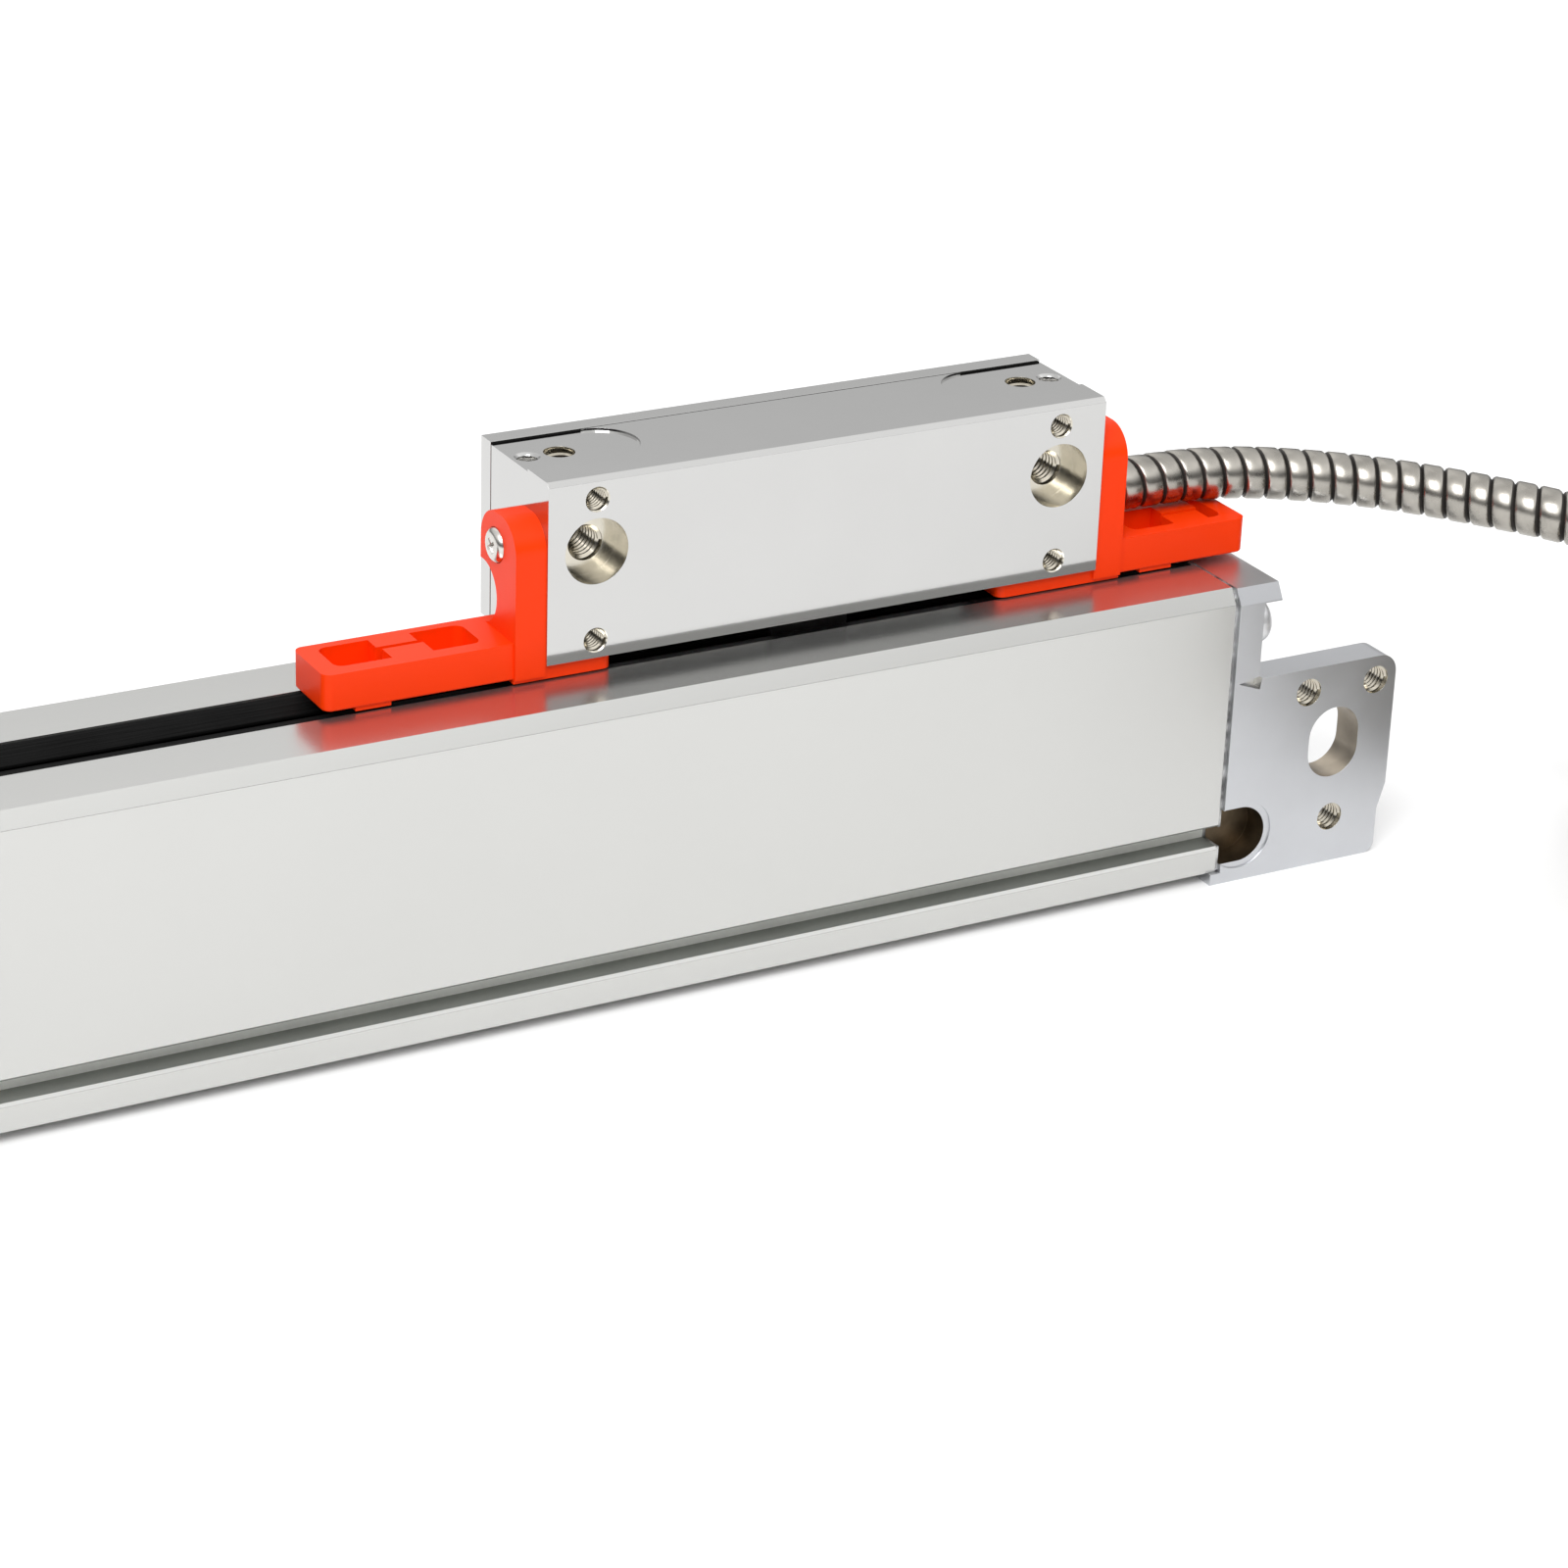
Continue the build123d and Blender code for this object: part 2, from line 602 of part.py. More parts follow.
# Back plate, cut by the top pockets' height like the block, and its countersunk screws
BACK_PLANE = Plane.XZ.offset(-HEAD_BACK).shift_origin((HEAD_X, HEAD_BACK, HEAD_Z1))
BACK_OUT = Plane(origin=(HEAD_X, HEAD_BACK, HEAD_Z1), x_dir=(1, 0, 0), z_dir=(0, 1, 0))
OUT_SPOTS = [(x, -z) for x, z in PLATE_SPOTS]

with BuildPart() as head_back_plate:
    with Locations((HEAD_X, HEAD_BACK, HEAD_Z0)):
        Box(HEAD_L, BACK_PLATE_T, HEAD_H, align=(Align.CENTER, Align.MAX, Align.MIN))
    outer = head_back_plate.faces().sort_by(Axis.Y)[-1].edges()
    fillet(outer, EDGE_BREAK)
    with Locations(*spots(BACK_OUT, OUT_SPOTS)):
        CounterSinkHole(M3_CLEAR_R, M3_SINK_R, counter_sink_angle=90)
save(head_back_plate.part, "head_back_plate")

with BuildPart() as back_plate_screws:
    reach = BACK_PLATE_T + SEAM_T + PLATE_SCREW_GRIP - EDGE_BREAK
    sink = M3_SINK_R - M3_CORE_R
    for u, v in OUT_SPOTS:
        with BuildSketch(BACK_OUT):
            with Locations((u, v)):
                Circle(M3_CORE_R - FIT)
        extrude(amount=-reach)
        with Locations(BACK_OUT.location * Location((u, v, -sink / 2 - FIT))):
            Cone(M3_CORE_R - FIT, M3_SINK_R - FIT, sink)
save(back_plate_screws.part, "back_plate_screws")

with BuildPart() as head_set_screws:
    with BuildSketch(Plane.XY.offset(POCKET_Z - 1.0)):
        with Locations(*[(HEAD_X + side * TOP_HOLE_OUT, TOP_Y) for side in (-1, 1)]):
            Circle(M4_CORE_R - FIT)
            RegularPolygon(1.0, 6, mode=Mode.SUBTRACT)
    extrude(amount=-2.0)
    with BuildSketch(Plane.XY.offset(POCKET_Z - 3.0)):
        with Locations(*[(HEAD_X + side * TOP_HOLE_OUT, TOP_Y) for side in (-1, 1)]):
            Circle(M4_CORE_R - FIT)
    extrude(amount=-3.0)
save(head_set_screws.part, "head_set_screws")

# Guide arm: thin blade through the seal, with a flange inside the head and a foot for the ball
CARRIAGE_TOP = GLASS_Z1 + ROLLER_OFF + ROLLER_R + BRIDGE_T / 2
BALL_Z = CARRIAGE_TOP - BALL_SINK + BALL_R
FOOT_Z = BALL_Z + BALL_R - BALL_SINK
with BuildPart() as guide_arm:
    with Locations((HEAD_X, ARM_Y, FOOT_Z)):
        Box(2 * ARM_HALF, ARM_T, FLOOR_TOP + ARM_FLANGE_T - FOOT_Z, align=(Align.CENTER, Align.CENTER, Align.MIN))
        Box(
            2 * ARM_FOOT_HALF_X,
            2 * ARM_FOOT_HALF_Y,
            ARM_FOOT_H,
            align=(Align.CENTER, Align.CENTER, Align.MIN),
        )
    with Locations((HEAD_X, ARM_Y - ARM_T / 2, FLOOR_TOP + FIT)):
        Box(2 * ARM_FLANGE_HALF, ARM_FLANGE_D, ARM_FLANGE_T - FIT, align=(Align.CENTER, Align.MIN, Align.MIN))
    with Locations((HEAD_X, ARM_Y, BALL_Z)):
        Sphere(BALL_R + FIT, mode=Mode.SUBTRACT)
    with Locations(*[(HEAD_X + side * ARM_SCREW_X, ARM_SCREW_Y, FLOOR_TOP + ARM_FLANGE_T) for side in (-1, 1)]):
        Hole(M2_R + FIT, depth=ARM_FLANGE_T)
save(guide_arm.part, "guide_arm")

with BuildPart() as guide_arm_screws:
    with BuildSketch(Plane.XY.offset(FLOOR_TOP + ARM_FLANGE_T)):
        with Locations(*[(HEAD_X + side * ARM_SCREW_X, ARM_SCREW_Y) for side in (-1, 1)]):
            Circle(2 * M2_R)
    extrude(amount=M2_R)
    with BuildSketch(Plane.XY.offset(FLOOR_TOP + ARM_FLANGE_T)):
        with Locations(*[(HEAD_X + side * ARM_SCREW_X, ARM_SCREW_Y) for side in (-1, 1)]):
            Circle(M2_R - 2 * FIT)
    extrude(amount=-(ARM_FLANGE_T + CAVITY_WALL / 2))
save(guide_arm_screws.part, "guide_arm_screws")

with BuildPart() as coupling_ball:
    with Locations((HEAD_X, ARM_Y, BALL_Z)):
        Sphere(BALL_R)
save(coupling_ball.part, "coupling_ball")

with BuildPart() as coupling_spring:
    with Locations((HEAD_X + ARM_FOOT_HALF_X + FIT, ARM_Y, CARRIAGE_TOP)):
        Box(SPRING_REACH, 2 * ARM_FOOT_HALF_Y, SPRING_T, align=(Align.MIN, Align.CENTER, Align.MIN))
        Box(
            SPRING_T,
            2 * ARM_FOOT_HALF_Y,
            FOOT_Z + ARM_FOOT_H - CARRIAGE_TOP,
            align=(Align.MIN, Align.CENTER, Align.MIN),
        )
save(coupling_spring.part, "coupling_spring")

# Scanning carriage: side plate with roller lugs, bridge over the glass and a leg for the light
FACE_Y = GLASS_Y - ROLLER_OFF - ROLLER_R
FACE_ROLLERS = {
    "face_roller_left": (-FACE_ROLLER_X, FLOOR_RIB_Z + FACE_ROLLER_UP),
    "face_roller_right": (FACE_ROLLER_X, FLOOR_RIB_Z + FACE_ROLLER_UP),
    "face_roller_lower": (0.0, FLOOR_RIB_Z + FACE_ROLLER_LOW),
}
EDGE_Z = GLASS_Z1 + ROLLER_OFF + ROLLER_R
EDGE_Y = GLASS_Y + GLASS_T / 2
EDGE_ROLLERS = {"edge_roller_left": -EDGE_ROLLER_X, "edge_roller_right": EDGE_ROLLER_X}
BRIDGE_Z0 = CARRIAGE_TOP - BRIDGE_T
PLATE_Z0 = FLOOR_RIB_Z + FACE_ROLLER_LOW - ROLLER_W / 2 - ROLLER_SIDE - LUG_T
LUG_REACH = FACE_Y + ROLLER_PIN_R + 1.0
LEG_BACK = LEG_Y + LEG_T
LIGHT_Z = GLASS_Z1 - RETICLE[2] / 2 - 1.0
WINDOW = 2 * (ROLLER_R + ROLLER_SIDE)

with BuildPart() as carriage_body:
    with Locations((HEAD_X, CARRIAGE_BACK, CARRIAGE_TOP)):
        Box(2 * CARRIAGE_HALF, CARRIAGE_T, CARRIAGE_TOP - PLATE_Z0, align=(Align.CENTER, Align.MAX, Align.MAX))
        Box(
            2 * CARRIAGE_HALF,
            LEG_BACK - CARRIAGE_BACK,
            BRIDGE_T,
            align=(Align.CENTER, Align.MIN, Align.MAX),
        )
    with Locations((HEAD_X, LEG_Y, CARRIAGE_TOP)):
        Box(
            2 * LEG_HALF,
            LEG_T,
            CARRIAGE_TOP - LIGHT_Z + 2 * LED_R,
            align=(Align.CENTER, Align.MIN, Align.MAX),
        )
    for x, z in FACE_ROLLERS.values():
        for side in (-1, 1):
            lug_z = z + side * (ROLLER_W / 2 + ROLLER_SIDE + LUG_T / 2)
            with Locations((HEAD_X + x, CARRIAGE_BACK, lug_z)):
                Box(2 * LUG_HALF, LUG_REACH - CARRIAGE_BACK, LUG_T, align=(Align.CENTER, Align.MIN, Align.CENTER))
        with Locations((HEAD_X + x, FACE_Y, z)):
            Hole(ROLLER_PIN_R + FIT, depth=ROLLER_W / 2 + ROLLER_SIDE + LUG_T)
    for x in EDGE_ROLLERS.values():
        with Locations((HEAD_X + x, EDGE_Y, EDGE_Z)):
            Box(WINDOW, ROLLER_W + 2 * ROLLER_SIDE, 2 * BRIDGE_T, mode=Mode.SUBTRACT)
        with Locations(Location((HEAD_X + x, EDGE_Y, EDGE_Z), (90, 0, 0))):
            Hole(ROLLER_PIN_R + FIT, depth=ROLLER_W / 2 + LUG_HALF)
    with Locations((HEAD_X, ARM_Y, BALL_Z)):
        Sphere(BALL_R + FIT, mode=Mode.SUBTRACT)
    with Locations(Location((HEAD_X, LEG_Y, LIGHT_Z), (90, 0, 0))):
        Hole(LED_R + FIT, depth=LEG_T)
save(carriage_body.part, "carriage_body")

with BuildPart() as roller_pins:
    for x, z in FACE_ROLLERS.values():
        with Locations((HEAD_X + x, FACE_Y, z)):
            Cylinder(ROLLER_PIN_R, ROLLER_W + 2 * (ROLLER_SIDE + LUG_T))
    for x in EDGE_ROLLERS.values():
        with Locations(Location((HEAD_X + x, EDGE_Y, EDGE_Z), (90, 0, 0))):
            Cylinder(ROLLER_PIN_R, ROLLER_W + 2 * LUG_HALF)
save(roller_pins.part, "roller_pins")


def roller(place, name):
    """Ball bearing roller with its bore running on a pin."""
    with BuildPart() as wheel:
        with Locations(place):
            Cylinder(ROLLER_R, ROLLER_W)
            Cylinder(ROLLER_PIN_R + ROLLER_PLAY, ROLLER_W, mode=Mode.SUBTRACT)
    save(wheel.part, name)


for name, (x, z) in FACE_ROLLERS.items():
    roller(Location((HEAD_X + x, FACE_Y, z)), name)
for name, x in EDGE_ROLLERS.items():
    roller(Location((HEAD_X + x, EDGE_Y, EDGE_Z), (90, 0, 0)), name)

# Optics: light in the leg, reticle and photocell board on the side plate
with BuildPart() as light_source:
    with Locations(Location((HEAD_X, LEG_Y, LIGHT_Z), (-90, 0, 0))):
        Cylinder(LED_R, LEG_T, align=(Align.CENTER, Align.CENTER, Align.MIN))
save(light_source.part, "light_source")

with BuildPart() as scanning_reticle:
    with Locations((HEAD_X, GLASS_Y - RETICLE_GAP, LIGHT_Z)):
        Box(*RETICLE, align=(Align.CENTER, Align.MAX, Align.CENTER))
save(scanning_reticle.part, "scanning_reticle")

reticle_front = GLASS_Y - RETICLE_GAP - RETICLE[1]
with BuildPart() as photocell_board:
    with Locations((HEAD_X, CARRIAGE_BACK, LIGHT_Z)):
        Box(RETICLE[0], BOARD_T, RETICLE[2], align=(Align.CENTER, Align.MIN, Align.CENTER))
        Box(
            RETICLE[0] / 2,
            reticle_front - CARRIAGE_BACK,
            RETICLE[2] / 2,
            align=(Align.CENTER, Align.MIN, Align.CENTER),
        )
save(photocell_board.part, "photocell_board")

# Circuit board inside the head, on two standoffs
BOARD_Y = HEAD_FRONT + HEAD_BOARD_Y
BOARD_Z = (FLOOR_TOP + HEAD_Z1 - CAVITY_WALL) / 2
CAVITY_Y0 = HEAD_FRONT + CAVITY_FRONT
STANDOFF_SPOTS = [(HEAD_X + side * STANDOFF_X, BOARD_Z) for side in (-1, 1)]
with BuildPart() as head_circuit_board:
    with Locations((HEAD_X, BOARD_Y, BOARD_Z)):
        Box(*HEAD_BOARD, align=(Align.CENTER, Align.MIN, Align.CENTER))
        Box(HEAD_BOARD[0] / 4, 2 * HEAD_BOARD[1], HEAD_BOARD[2] / 2, align=(Align.CENTER, Align.MIN, Align.CENTER))
    with BuildSketch(Plane.XZ.offset(-BOARD_Y)):
        with Locations(*STANDOFF_SPOTS):
            Circle(M3_CORE_R)
    extrude(amount=-HEAD_BOARD[1], mode=Mode.SUBTRACT)
save(head_circuit_board.part, "head_circuit_board")

with BuildPart() as board_standoffs:
    with BuildSketch(Plane.XZ.offset(-CAVITY_Y0)):
        with Locations(*STANDOFF_SPOTS):
            Circle(STANDOFF_R)
    extrude(amount=-(BOARD_Y - CAVITY_Y0))
save(board_standoffs.part, "board_standoffs")

with BuildPart() as board_screws:
    board_back = BOARD_Y + HEAD_BOARD[1]
    with BuildSketch(Plane.XZ.offset(-board_back)):
        with Locations(*STANDOFF_SPOTS):
            Circle(STANDOFF_R)
    extrude(amount=-M2_R)
    with BuildSketch(Plane.XZ.offset(-board_back)):
        with Locations(*STANDOFF_SPOTS):
            Circle(M3_CORE_R - FIT)
    extrude(amount=HEAD_BOARD[1])
save(board_screws.part, "board_screws")


# Alignment guards screwed to the head's ends
def guard(name, side, tongue, reach, foot_near, foot_far):
    """Moulded guard: bar over the seal with two pockets, post on the head's end, spacer tongue."""
    end_x = HEAD_X + side * HEAD_L / 2
    bar_z0 = EXT_Z1 + BAR_LIFT
    foot_z0 = EXT_Z1 + GUARD_LIFT

    def out(u):
        """X at a distance outwards from the head's end."""
        return end_x + side * u

    def block(u0, u1, y0, y1, z0, z1, mode=Mode.ADD):
        with Locations(((out(u0) + out(u1)) / 2, (y0 + y1) / 2, (z0 + z1) / 2)):
            Box(u1 - u0, y1 - y0, z1 - z0, mode=mode)

    with BuildPart() as body:
        block(0, reach, BAR_FRONT, BAR_BACK, bar_z0, BAR_TOP)
        far = body.edges().filter_by(Axis.Z).sort_by_distance((out(reach), 0, BAR_TOP))[:2]
        fillet(far, POCKET_CORNER)
        fillet(body.faces().sort_by(Axis.Z)[0].edges().filter_by(Axis.X), EDGE_BREAK)
        block(-tongue, 0, BAR_FRONT, BAR_BACK, foot_z0, HEAD_Z0 - FIT)
        tip = body.edges().filter_by(Axis.Z).sort_by_distance((out(-tongue), 0, foot_z0))[:2]
        fillet(tip, POCKET_CORNER)
        block(0, POST_T, BAR_FRONT, BAR_BACK, foot_z0, BAR_TOP)
        block(foot_near, foot_far, BAR_FRONT + EDGE_BREAK, BAR_BACK - EDGE_BREAK, foot_z0, bar_z0)

        pocket_far = reach - POCKET_END_WALL
        floor_z = BAR_TOP - POCKET_DEPTH
        block(POCKET_NEAR, pocket_far, POCKET_Y0, POCKET_Y1, floor_z, BAR_TOP, Mode.SUBTRACT)
        corners = body.edges().filter_by(Axis.Z).filter_by(
            lambda e: POCKET_Y0 - FIT < e.center().Y < POCKET_Y1 + FIT and e.center().Z > floor_z
        )
        fillet(corners, POCKET_CORNER)
        middle_y = (POCKET_Y0 + POCKET_Y1) / 2 + TAB_OFFSET / 2
        tab_far = TAB_NEAR + TAB_LEN
        block(TAB_NEAR, tab_far, POCKET_Y0, middle_y - TAB_SLOT / 2, floor_z, BAR_TOP)
        block(TAB_NEAR + TAB_OFFSET, tab_far + TAB_OFFSET, middle_y + TAB_SLOT / 2, POCKET_Y1, floor_z, BAR_TOP)

        post = Plane.YZ.offset(out(0) if side > 0 else out(POST_T))
        top_z = GUARD_SCREW_Z
        with BuildSketch(post):
            with Locations((POST_FRONT + POST_R, top_z), (GUARD_SCREW_Y, top_z)):
                Circle(POST_R)
            with BuildLine():
                Polyline(
                    (POST_FRONT, bar_z0),
                    (BAR_BACK, bar_z0),
                    (GUARD_SCREW_Y + POST_R, top_z),
                    (GUARD_SCREW_Y, top_z + POST_R),
                    (POST_FRONT + POST_R, top_z + POST_R),
                    (POST_FRONT, top_z),
                    close=True,
                )
            make_face()
            with Locations((HOSE_Y, HOSE_Z)):
                Circle(HOSE_R + HOSE_RELIEF, mode=Mode.SUBTRACT)
            with Locations((BAR_BACK, HOSE_Z)):
                Rectangle(2 * (BAR_BACK - HOSE_Y), 2 * (HOSE_R + HOSE_RELIEF), mode=Mode.SUBTRACT)
        extrude(amount=POST_T)
        with Locations(Location((out(POST_T), GUARD_SCREW_Y, GUARD_SCREW_Z), (0, 90, 0))):
            Hole(M3_PAN_R + FIT, depth=PAN_SINK)
            Hole(M3_CLEAR_R, depth=POST_T)
    save(body.part, name)


guard("guard_left", -1, **GUARD_LEFT)
guard("guard_right", 1, **GUARD_RIGHT)

with BuildPart() as guard_screws:
    for side, end_x in END_POINTS:
        seat = end_x + side * (POST_T - PAN_SINK)
        axis_plane = Plane.YZ.offset(seat)
        with BuildSketch(axis_plane):
            with Locations((GUARD_SCREW_Y, GUARD_SCREW_Z)):
                Circle(M3_PAN_R)
        extrude(amount=side * M3_PAN_H)
        with BuildSketch(axis_plane):
            with Locations((GUARD_SCREW_Y, GUARD_SCREW_Z)):
                Circle(M3_CORE_R - FIT)
        extrude(amount=-side * (POST_T - PAN_SINK + GUARD_SCREW_GRIP - FIT))
save(guard_screws.part, "guard_screws")

# Gland in the head's right end
with BuildPart() as hose_gland:
    with BuildSketch(Plane.YZ.offset(right_end)):
        with Locations((HOSE_Y, HOSE_Z)):
            Circle(GLAND_R)
            Circle(HOSE_R + FIT, mode=Mode.SUBTRACT)
    extrude(amount=-HOSE_GRIP)
    with BuildSketch(Plane.YZ.offset(right_end - HOSE_GRIP)):
        with Locations((HOSE_Y, HOSE_Z)):
            Circle(GLAND_R)
            Circle(WIRE_R, mode=Mode.SUBTRACT)
    extrude(amount=HOSE_GRIP - GLAND_L)
save(hose_gland.part, "hose_gland")


def bend_radii(runs):
    """Radius of each bend between straight runs, for arcs that leave a short straight between them."""
    return [
        0.45 * min(a.length, b.length) / math.tan(math.radians(a.get_angle(b) / 2))
        for a, b in zip(runs, runs[1:])
    ]


# Armoured hose from the gland to its hank
route = [Vector(right_end - HOSE_GRIP, HOSE_Y, HOSE_Z)] + [Vector(*p) for p in HOSE_ROUTE]
runs = [b - a for a, b in zip(route, route[1:])]
radii = bend_radii(runs)
print("hose bend radii", [round(r, 1) for r in radii])
with BuildPart() as hose_tube:
    with BuildLine() as hose_line:
        FilletPolyline(*route, radius=radii)
    with BuildSketch(Plane(origin=route[0], z_dir=runs[0])):
        Circle(HOSE_R)
    sweep()
hose_len = sum(edge.length for edge in hose_line.edges())
full = hose_tube.part.volume / (math.pi * HOSE_R ** 2 * hose_len)
print("hose length", round(hose_len, 1), "volume over section times length", round(full, 4))
save(hose_tube.part, "hose_tube")

# Hank: outer shape of the folded hose, with the two strands that lie on top of it
coil_h = COIL_LAYERS * COIL_PITCH
coil_w = COIL_COLUMNS * COIL_PITCH
inner_fold = FOLD_R - COIL_PITCH / 2
fold_x = HANK_X + HANK_RUN
coil_top = TIE_T + coil_h
tail = [Vector(*p) for p in TAIL_ROUTE]
STRANDS = [(route[-1], fold_x - route[-1].X), (tail[0], fold_x - tail[0].X)]
with BuildPart() as hose_coil:
    with BuildSketch(Plane.XY.offset(TIE_T)):
        with Locations((HANK_X + HANK_RUN / 2, HANK_Y)):
            SlotCenterToCenter(HANK_RUN, 2 * FOLD_R + coil_w)
            SlotCenterToCenter(HANK_RUN, 2 * FOLD_R - coil_w, mode=Mode.SUBTRACT)
    extrude(amount=coil_h)
    rims = hose_coil.edges().group_by(Axis.Z)
    fillet(rims[0] + rims[-1], HOSE_R - FIT)
    for start, run in STRANDS:
        with BuildSketch(Plane(origin=start, z_dir=(1, 0, 0))):
            Circle(HOSE_R)
        extrude(amount=run)
        with Locations((start.X, start.Y, start.Z)):
            Box(run, HOSE_R, start.Z - coil_top + HOSE_R, align=(Align.MIN, Align.CENTER, Align.MAX))
save(hose_coil.part, "hose_coil")

turn_len = 2 * HANK_RUN + 2 * math.pi * FOLD_R
print("strand heights", route[-1].Z, tail[0].Z, "expected", round(coil_top + COIL_PITCH / 2, 2))

with BuildPart() as coil_tie:
    with BuildSketch(Plane.YZ.offset(TIE_X)):
        with Locations((HANK_Y - FOLD_R, TIE_T + coil_h / 2)):
            RectangleRounded(coil_w + 2 * TIE_T, coil_h + 2 * TIE_T, HOSE_R + TIE_T)
            RectangleRounded(coil_w + 2 * FIT, coil_h + 2 * FIT, HOSE_R, mode=Mode.SUBTRACT)
    extrude(amount=TIE_W)
save(coil_tie.part, "coil_tie")

# Tail from the hank to the connector that lies on it
tail_runs = [b - a for a, b in zip(tail, tail[1:])]
tail_radii = bend_radii(tail_runs)
print("tail bend radii", [round(r, 1) for r in tail_radii])
with BuildPart() as hose_tail:
    with BuildLine() as tail_line:
        FilletPolyline(*tail, radius=tail_radii)
    with BuildSketch(Plane(origin=tail[0], z_dir=tail_runs[0])):
        Circle(HOSE_R)
    sweep()
save(hose_tail.part, "hose_tail")
tail_len = sum(edge.length for edge in tail_line.edges())
total = hose_len + STRANDS[0][1] + COIL_LAYERS * COIL_COLUMNS * turn_len
total += math.pi * inner_fold + STRANDS[1][1] + tail_len
print("total hose length", round(total, 1))

# Connector, drawn along -Y from its cable end and then laid on the hank along -X
PLUG_PLACE = Location((tail[-1].X + PLUG_GRIP, tail[-1].Y, tail[-1].Z), (0, 0, -90))
JACK_X = [side * JACK_SPAN / 2 for side in (-1, 1)]
HOOD_SCREWS = [(side * HOOD_SCREW_X, -HOOD_SCREW_Y) for side in (-1, 1)]
SHELL_PLANE = Plane(origin=(0, -PLUG_L, 0), x_dir=(1, 0, 0), z_dir=(0, -1, 0))


def d_shape(grow=0.0):
    """Outline of the D shell, on the plane through the connector's end."""
    half_w = DSHELL_W / 2 + grow
    half_h = DSHELL_H / 2 + grow
    with BuildLine() as line:
        Polyline(
            (-half_w, half_h),
            (half_w, half_h),
            (half_w - DSHELL_TAPER, -half_h),
            (-half_w + DSHELL_TAPER, -half_h),
            close=True,
        )
    return line.line


def hood_half(z0, z1, name):
    """One half of the connector's hood, between two heights."""
    with BuildPart() as half:
        with BuildSketch(Plane.XY.offset(z0)) as outline:
            with Locations((0, 0)):
                Rectangle(2 * PLUG_NECK, PLUG_L, align=(Align.CENTER, Align.MAX))
            with Locations((0, -PLUG_L)):
                Rectangle(PLUG_W, PLUG_WING, align=(Align.CENTER, Align.MIN))
            outside = outline.vertices().filter_by(
                lambda v: v.Y > -PLUG_WALL or abs(v.X) > PLUG_NECK + PLUG_WALL
            )
            fillet(outside, PLUG_WALL)
        extrude(amount=z1 - z0)
        with Locations((0, -PLUG_L, 0)):
            for half_w, length in ((PLUG_NECK - PLUG_WALL, PLUG_L - PLUG_SOLID), (DSHELL_W / 2, INSERT_BACK)):
                Box(
                    2 * half_w,
                    length,
                    PLUG_H - 2 * PLUG_WALL,
                    align=(Align.CENTER, Align.MIN, Align.CENTER),
                    mode=Mode.SUBTRACT,
                )
        with Locations(Location((0, 0, 0), (-90, 0, 0))):
            Hole(HOSE_R + FIT, depth=PLUG_SOLID)
        for x in JACK_X:
            with Locations(Location((x, -PLUG_L, 0), (90, 0, 0))):
                Hole(JACK_R + FIT, depth=PLUG_WING)
        with Locations(*[(x, y, PLUG_H / 2) for x, y in HOOD_SCREWS]):
            CounterBoreHole(HOOD_SCREW_R + FIT, 2 * HOOD_SCREW_R, HOOD_SCREW_R, depth=PLUG_H - PLUG_WALL)
    save(PLUG_PLACE * half.part, name)


hood_half(-PLUG_H / 2, 0, "connector_shell_lower")
hood_half(0, PLUG_H / 2, "connector_shell_upper")

with BuildPart() as connector_face:
    with BuildSketch(SHELL_PLANE):
        RectangleRounded(PLUG_FACE_W, PLUG_FACE_H, PLUG_WALL)
        with Locations(*[(side * JACK_SPAN / 2, 0) for side in (-1, 1)]):
            Circle(JACK_R + FIT, mode=Mode.SUBTRACT)
    extrude(amount=PLUG_FACE_T)
    with BuildSketch(SHELL_PLANE):
        make_face(d_shape())
    extrude(amount=DSHELL_L)
    with BuildSketch(SHELL_PLANE):
        make_face(d_shape(-DSHELL_T))
    extrude(amount=DSHELL_L, mode=Mode.SUBTRACT)
save(PLUG_PLACE * connector_face.part, "connector_face")

with BuildPart() as connector_insert:
    with BuildSketch(SHELL_PLANE.offset(-INSERT_BACK)):
        make_face(d_shape(-DSHELL_T - FIT))
    extrude(amount=INSERT_BACK + DSHELL_L - DSHELL_T)
    with BuildSketch(SHELL_PLANE.offset(DSHELL_L - DSHELL_T)):
        for count, z in ((5, PIN_ROW / 2), (4, -PIN_ROW / 2)):
            with Locations((0, z)):
                with GridLocations(PIN_PITCH, 1, count, 1):
                    Circle(PIN_R)
    extrude(amount=-DSHELL_L, mode=Mode.SUBTRACT)
save(PLUG_PLACE * connector_insert.part, "connector_insert")

with BuildPart() as connector_jackscrews:
    for x in JACK_X:
        shoulder = Plane(origin=(x, PLUG_WING + FIT - PLUG_L, 0), x_dir=(1, 0, 0), z_dir=(0, -1, 0))
        with BuildSketch(shoulder):
            Circle(JACK_HEAD_R)
        extrude(amount=-JACK_HEAD_L)
        with BuildSketch(shoulder):
            Circle(JACK_R)
        extrude(amount=PLUG_WING + JACK_OUT)
save(PLUG_PLACE * connector_jackscrews.part, "connector_jackscrews")

with BuildPart() as connector_hood_screws:
    seat = PLUG_H / 2 - HOOD_SCREW_R
    with BuildSketch(Plane.XY.offset(seat)):
        with Locations(*HOOD_SCREWS):
            Circle(2 * HOOD_SCREW_R - FIT)
    extrude(amount=HOOD_SCREW_R - FIT)
    with BuildSketch(Plane.XY.offset(seat)):
        with Locations(*HOOD_SCREWS):
            Circle(HOOD_SCREW_R)
    extrude(amount=-(PLUG_H - 2 * PLUG_WALL))
save(PLUG_PLACE * connector_hood_screws.part, "connector_hood_screws")
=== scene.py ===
import json
import math
from collections import namedtuple

import bpy
from bpy.props import FloatProperty, FloatVectorProperty, IntProperty, PointerProperty
from mathutils import Matrix, Vector

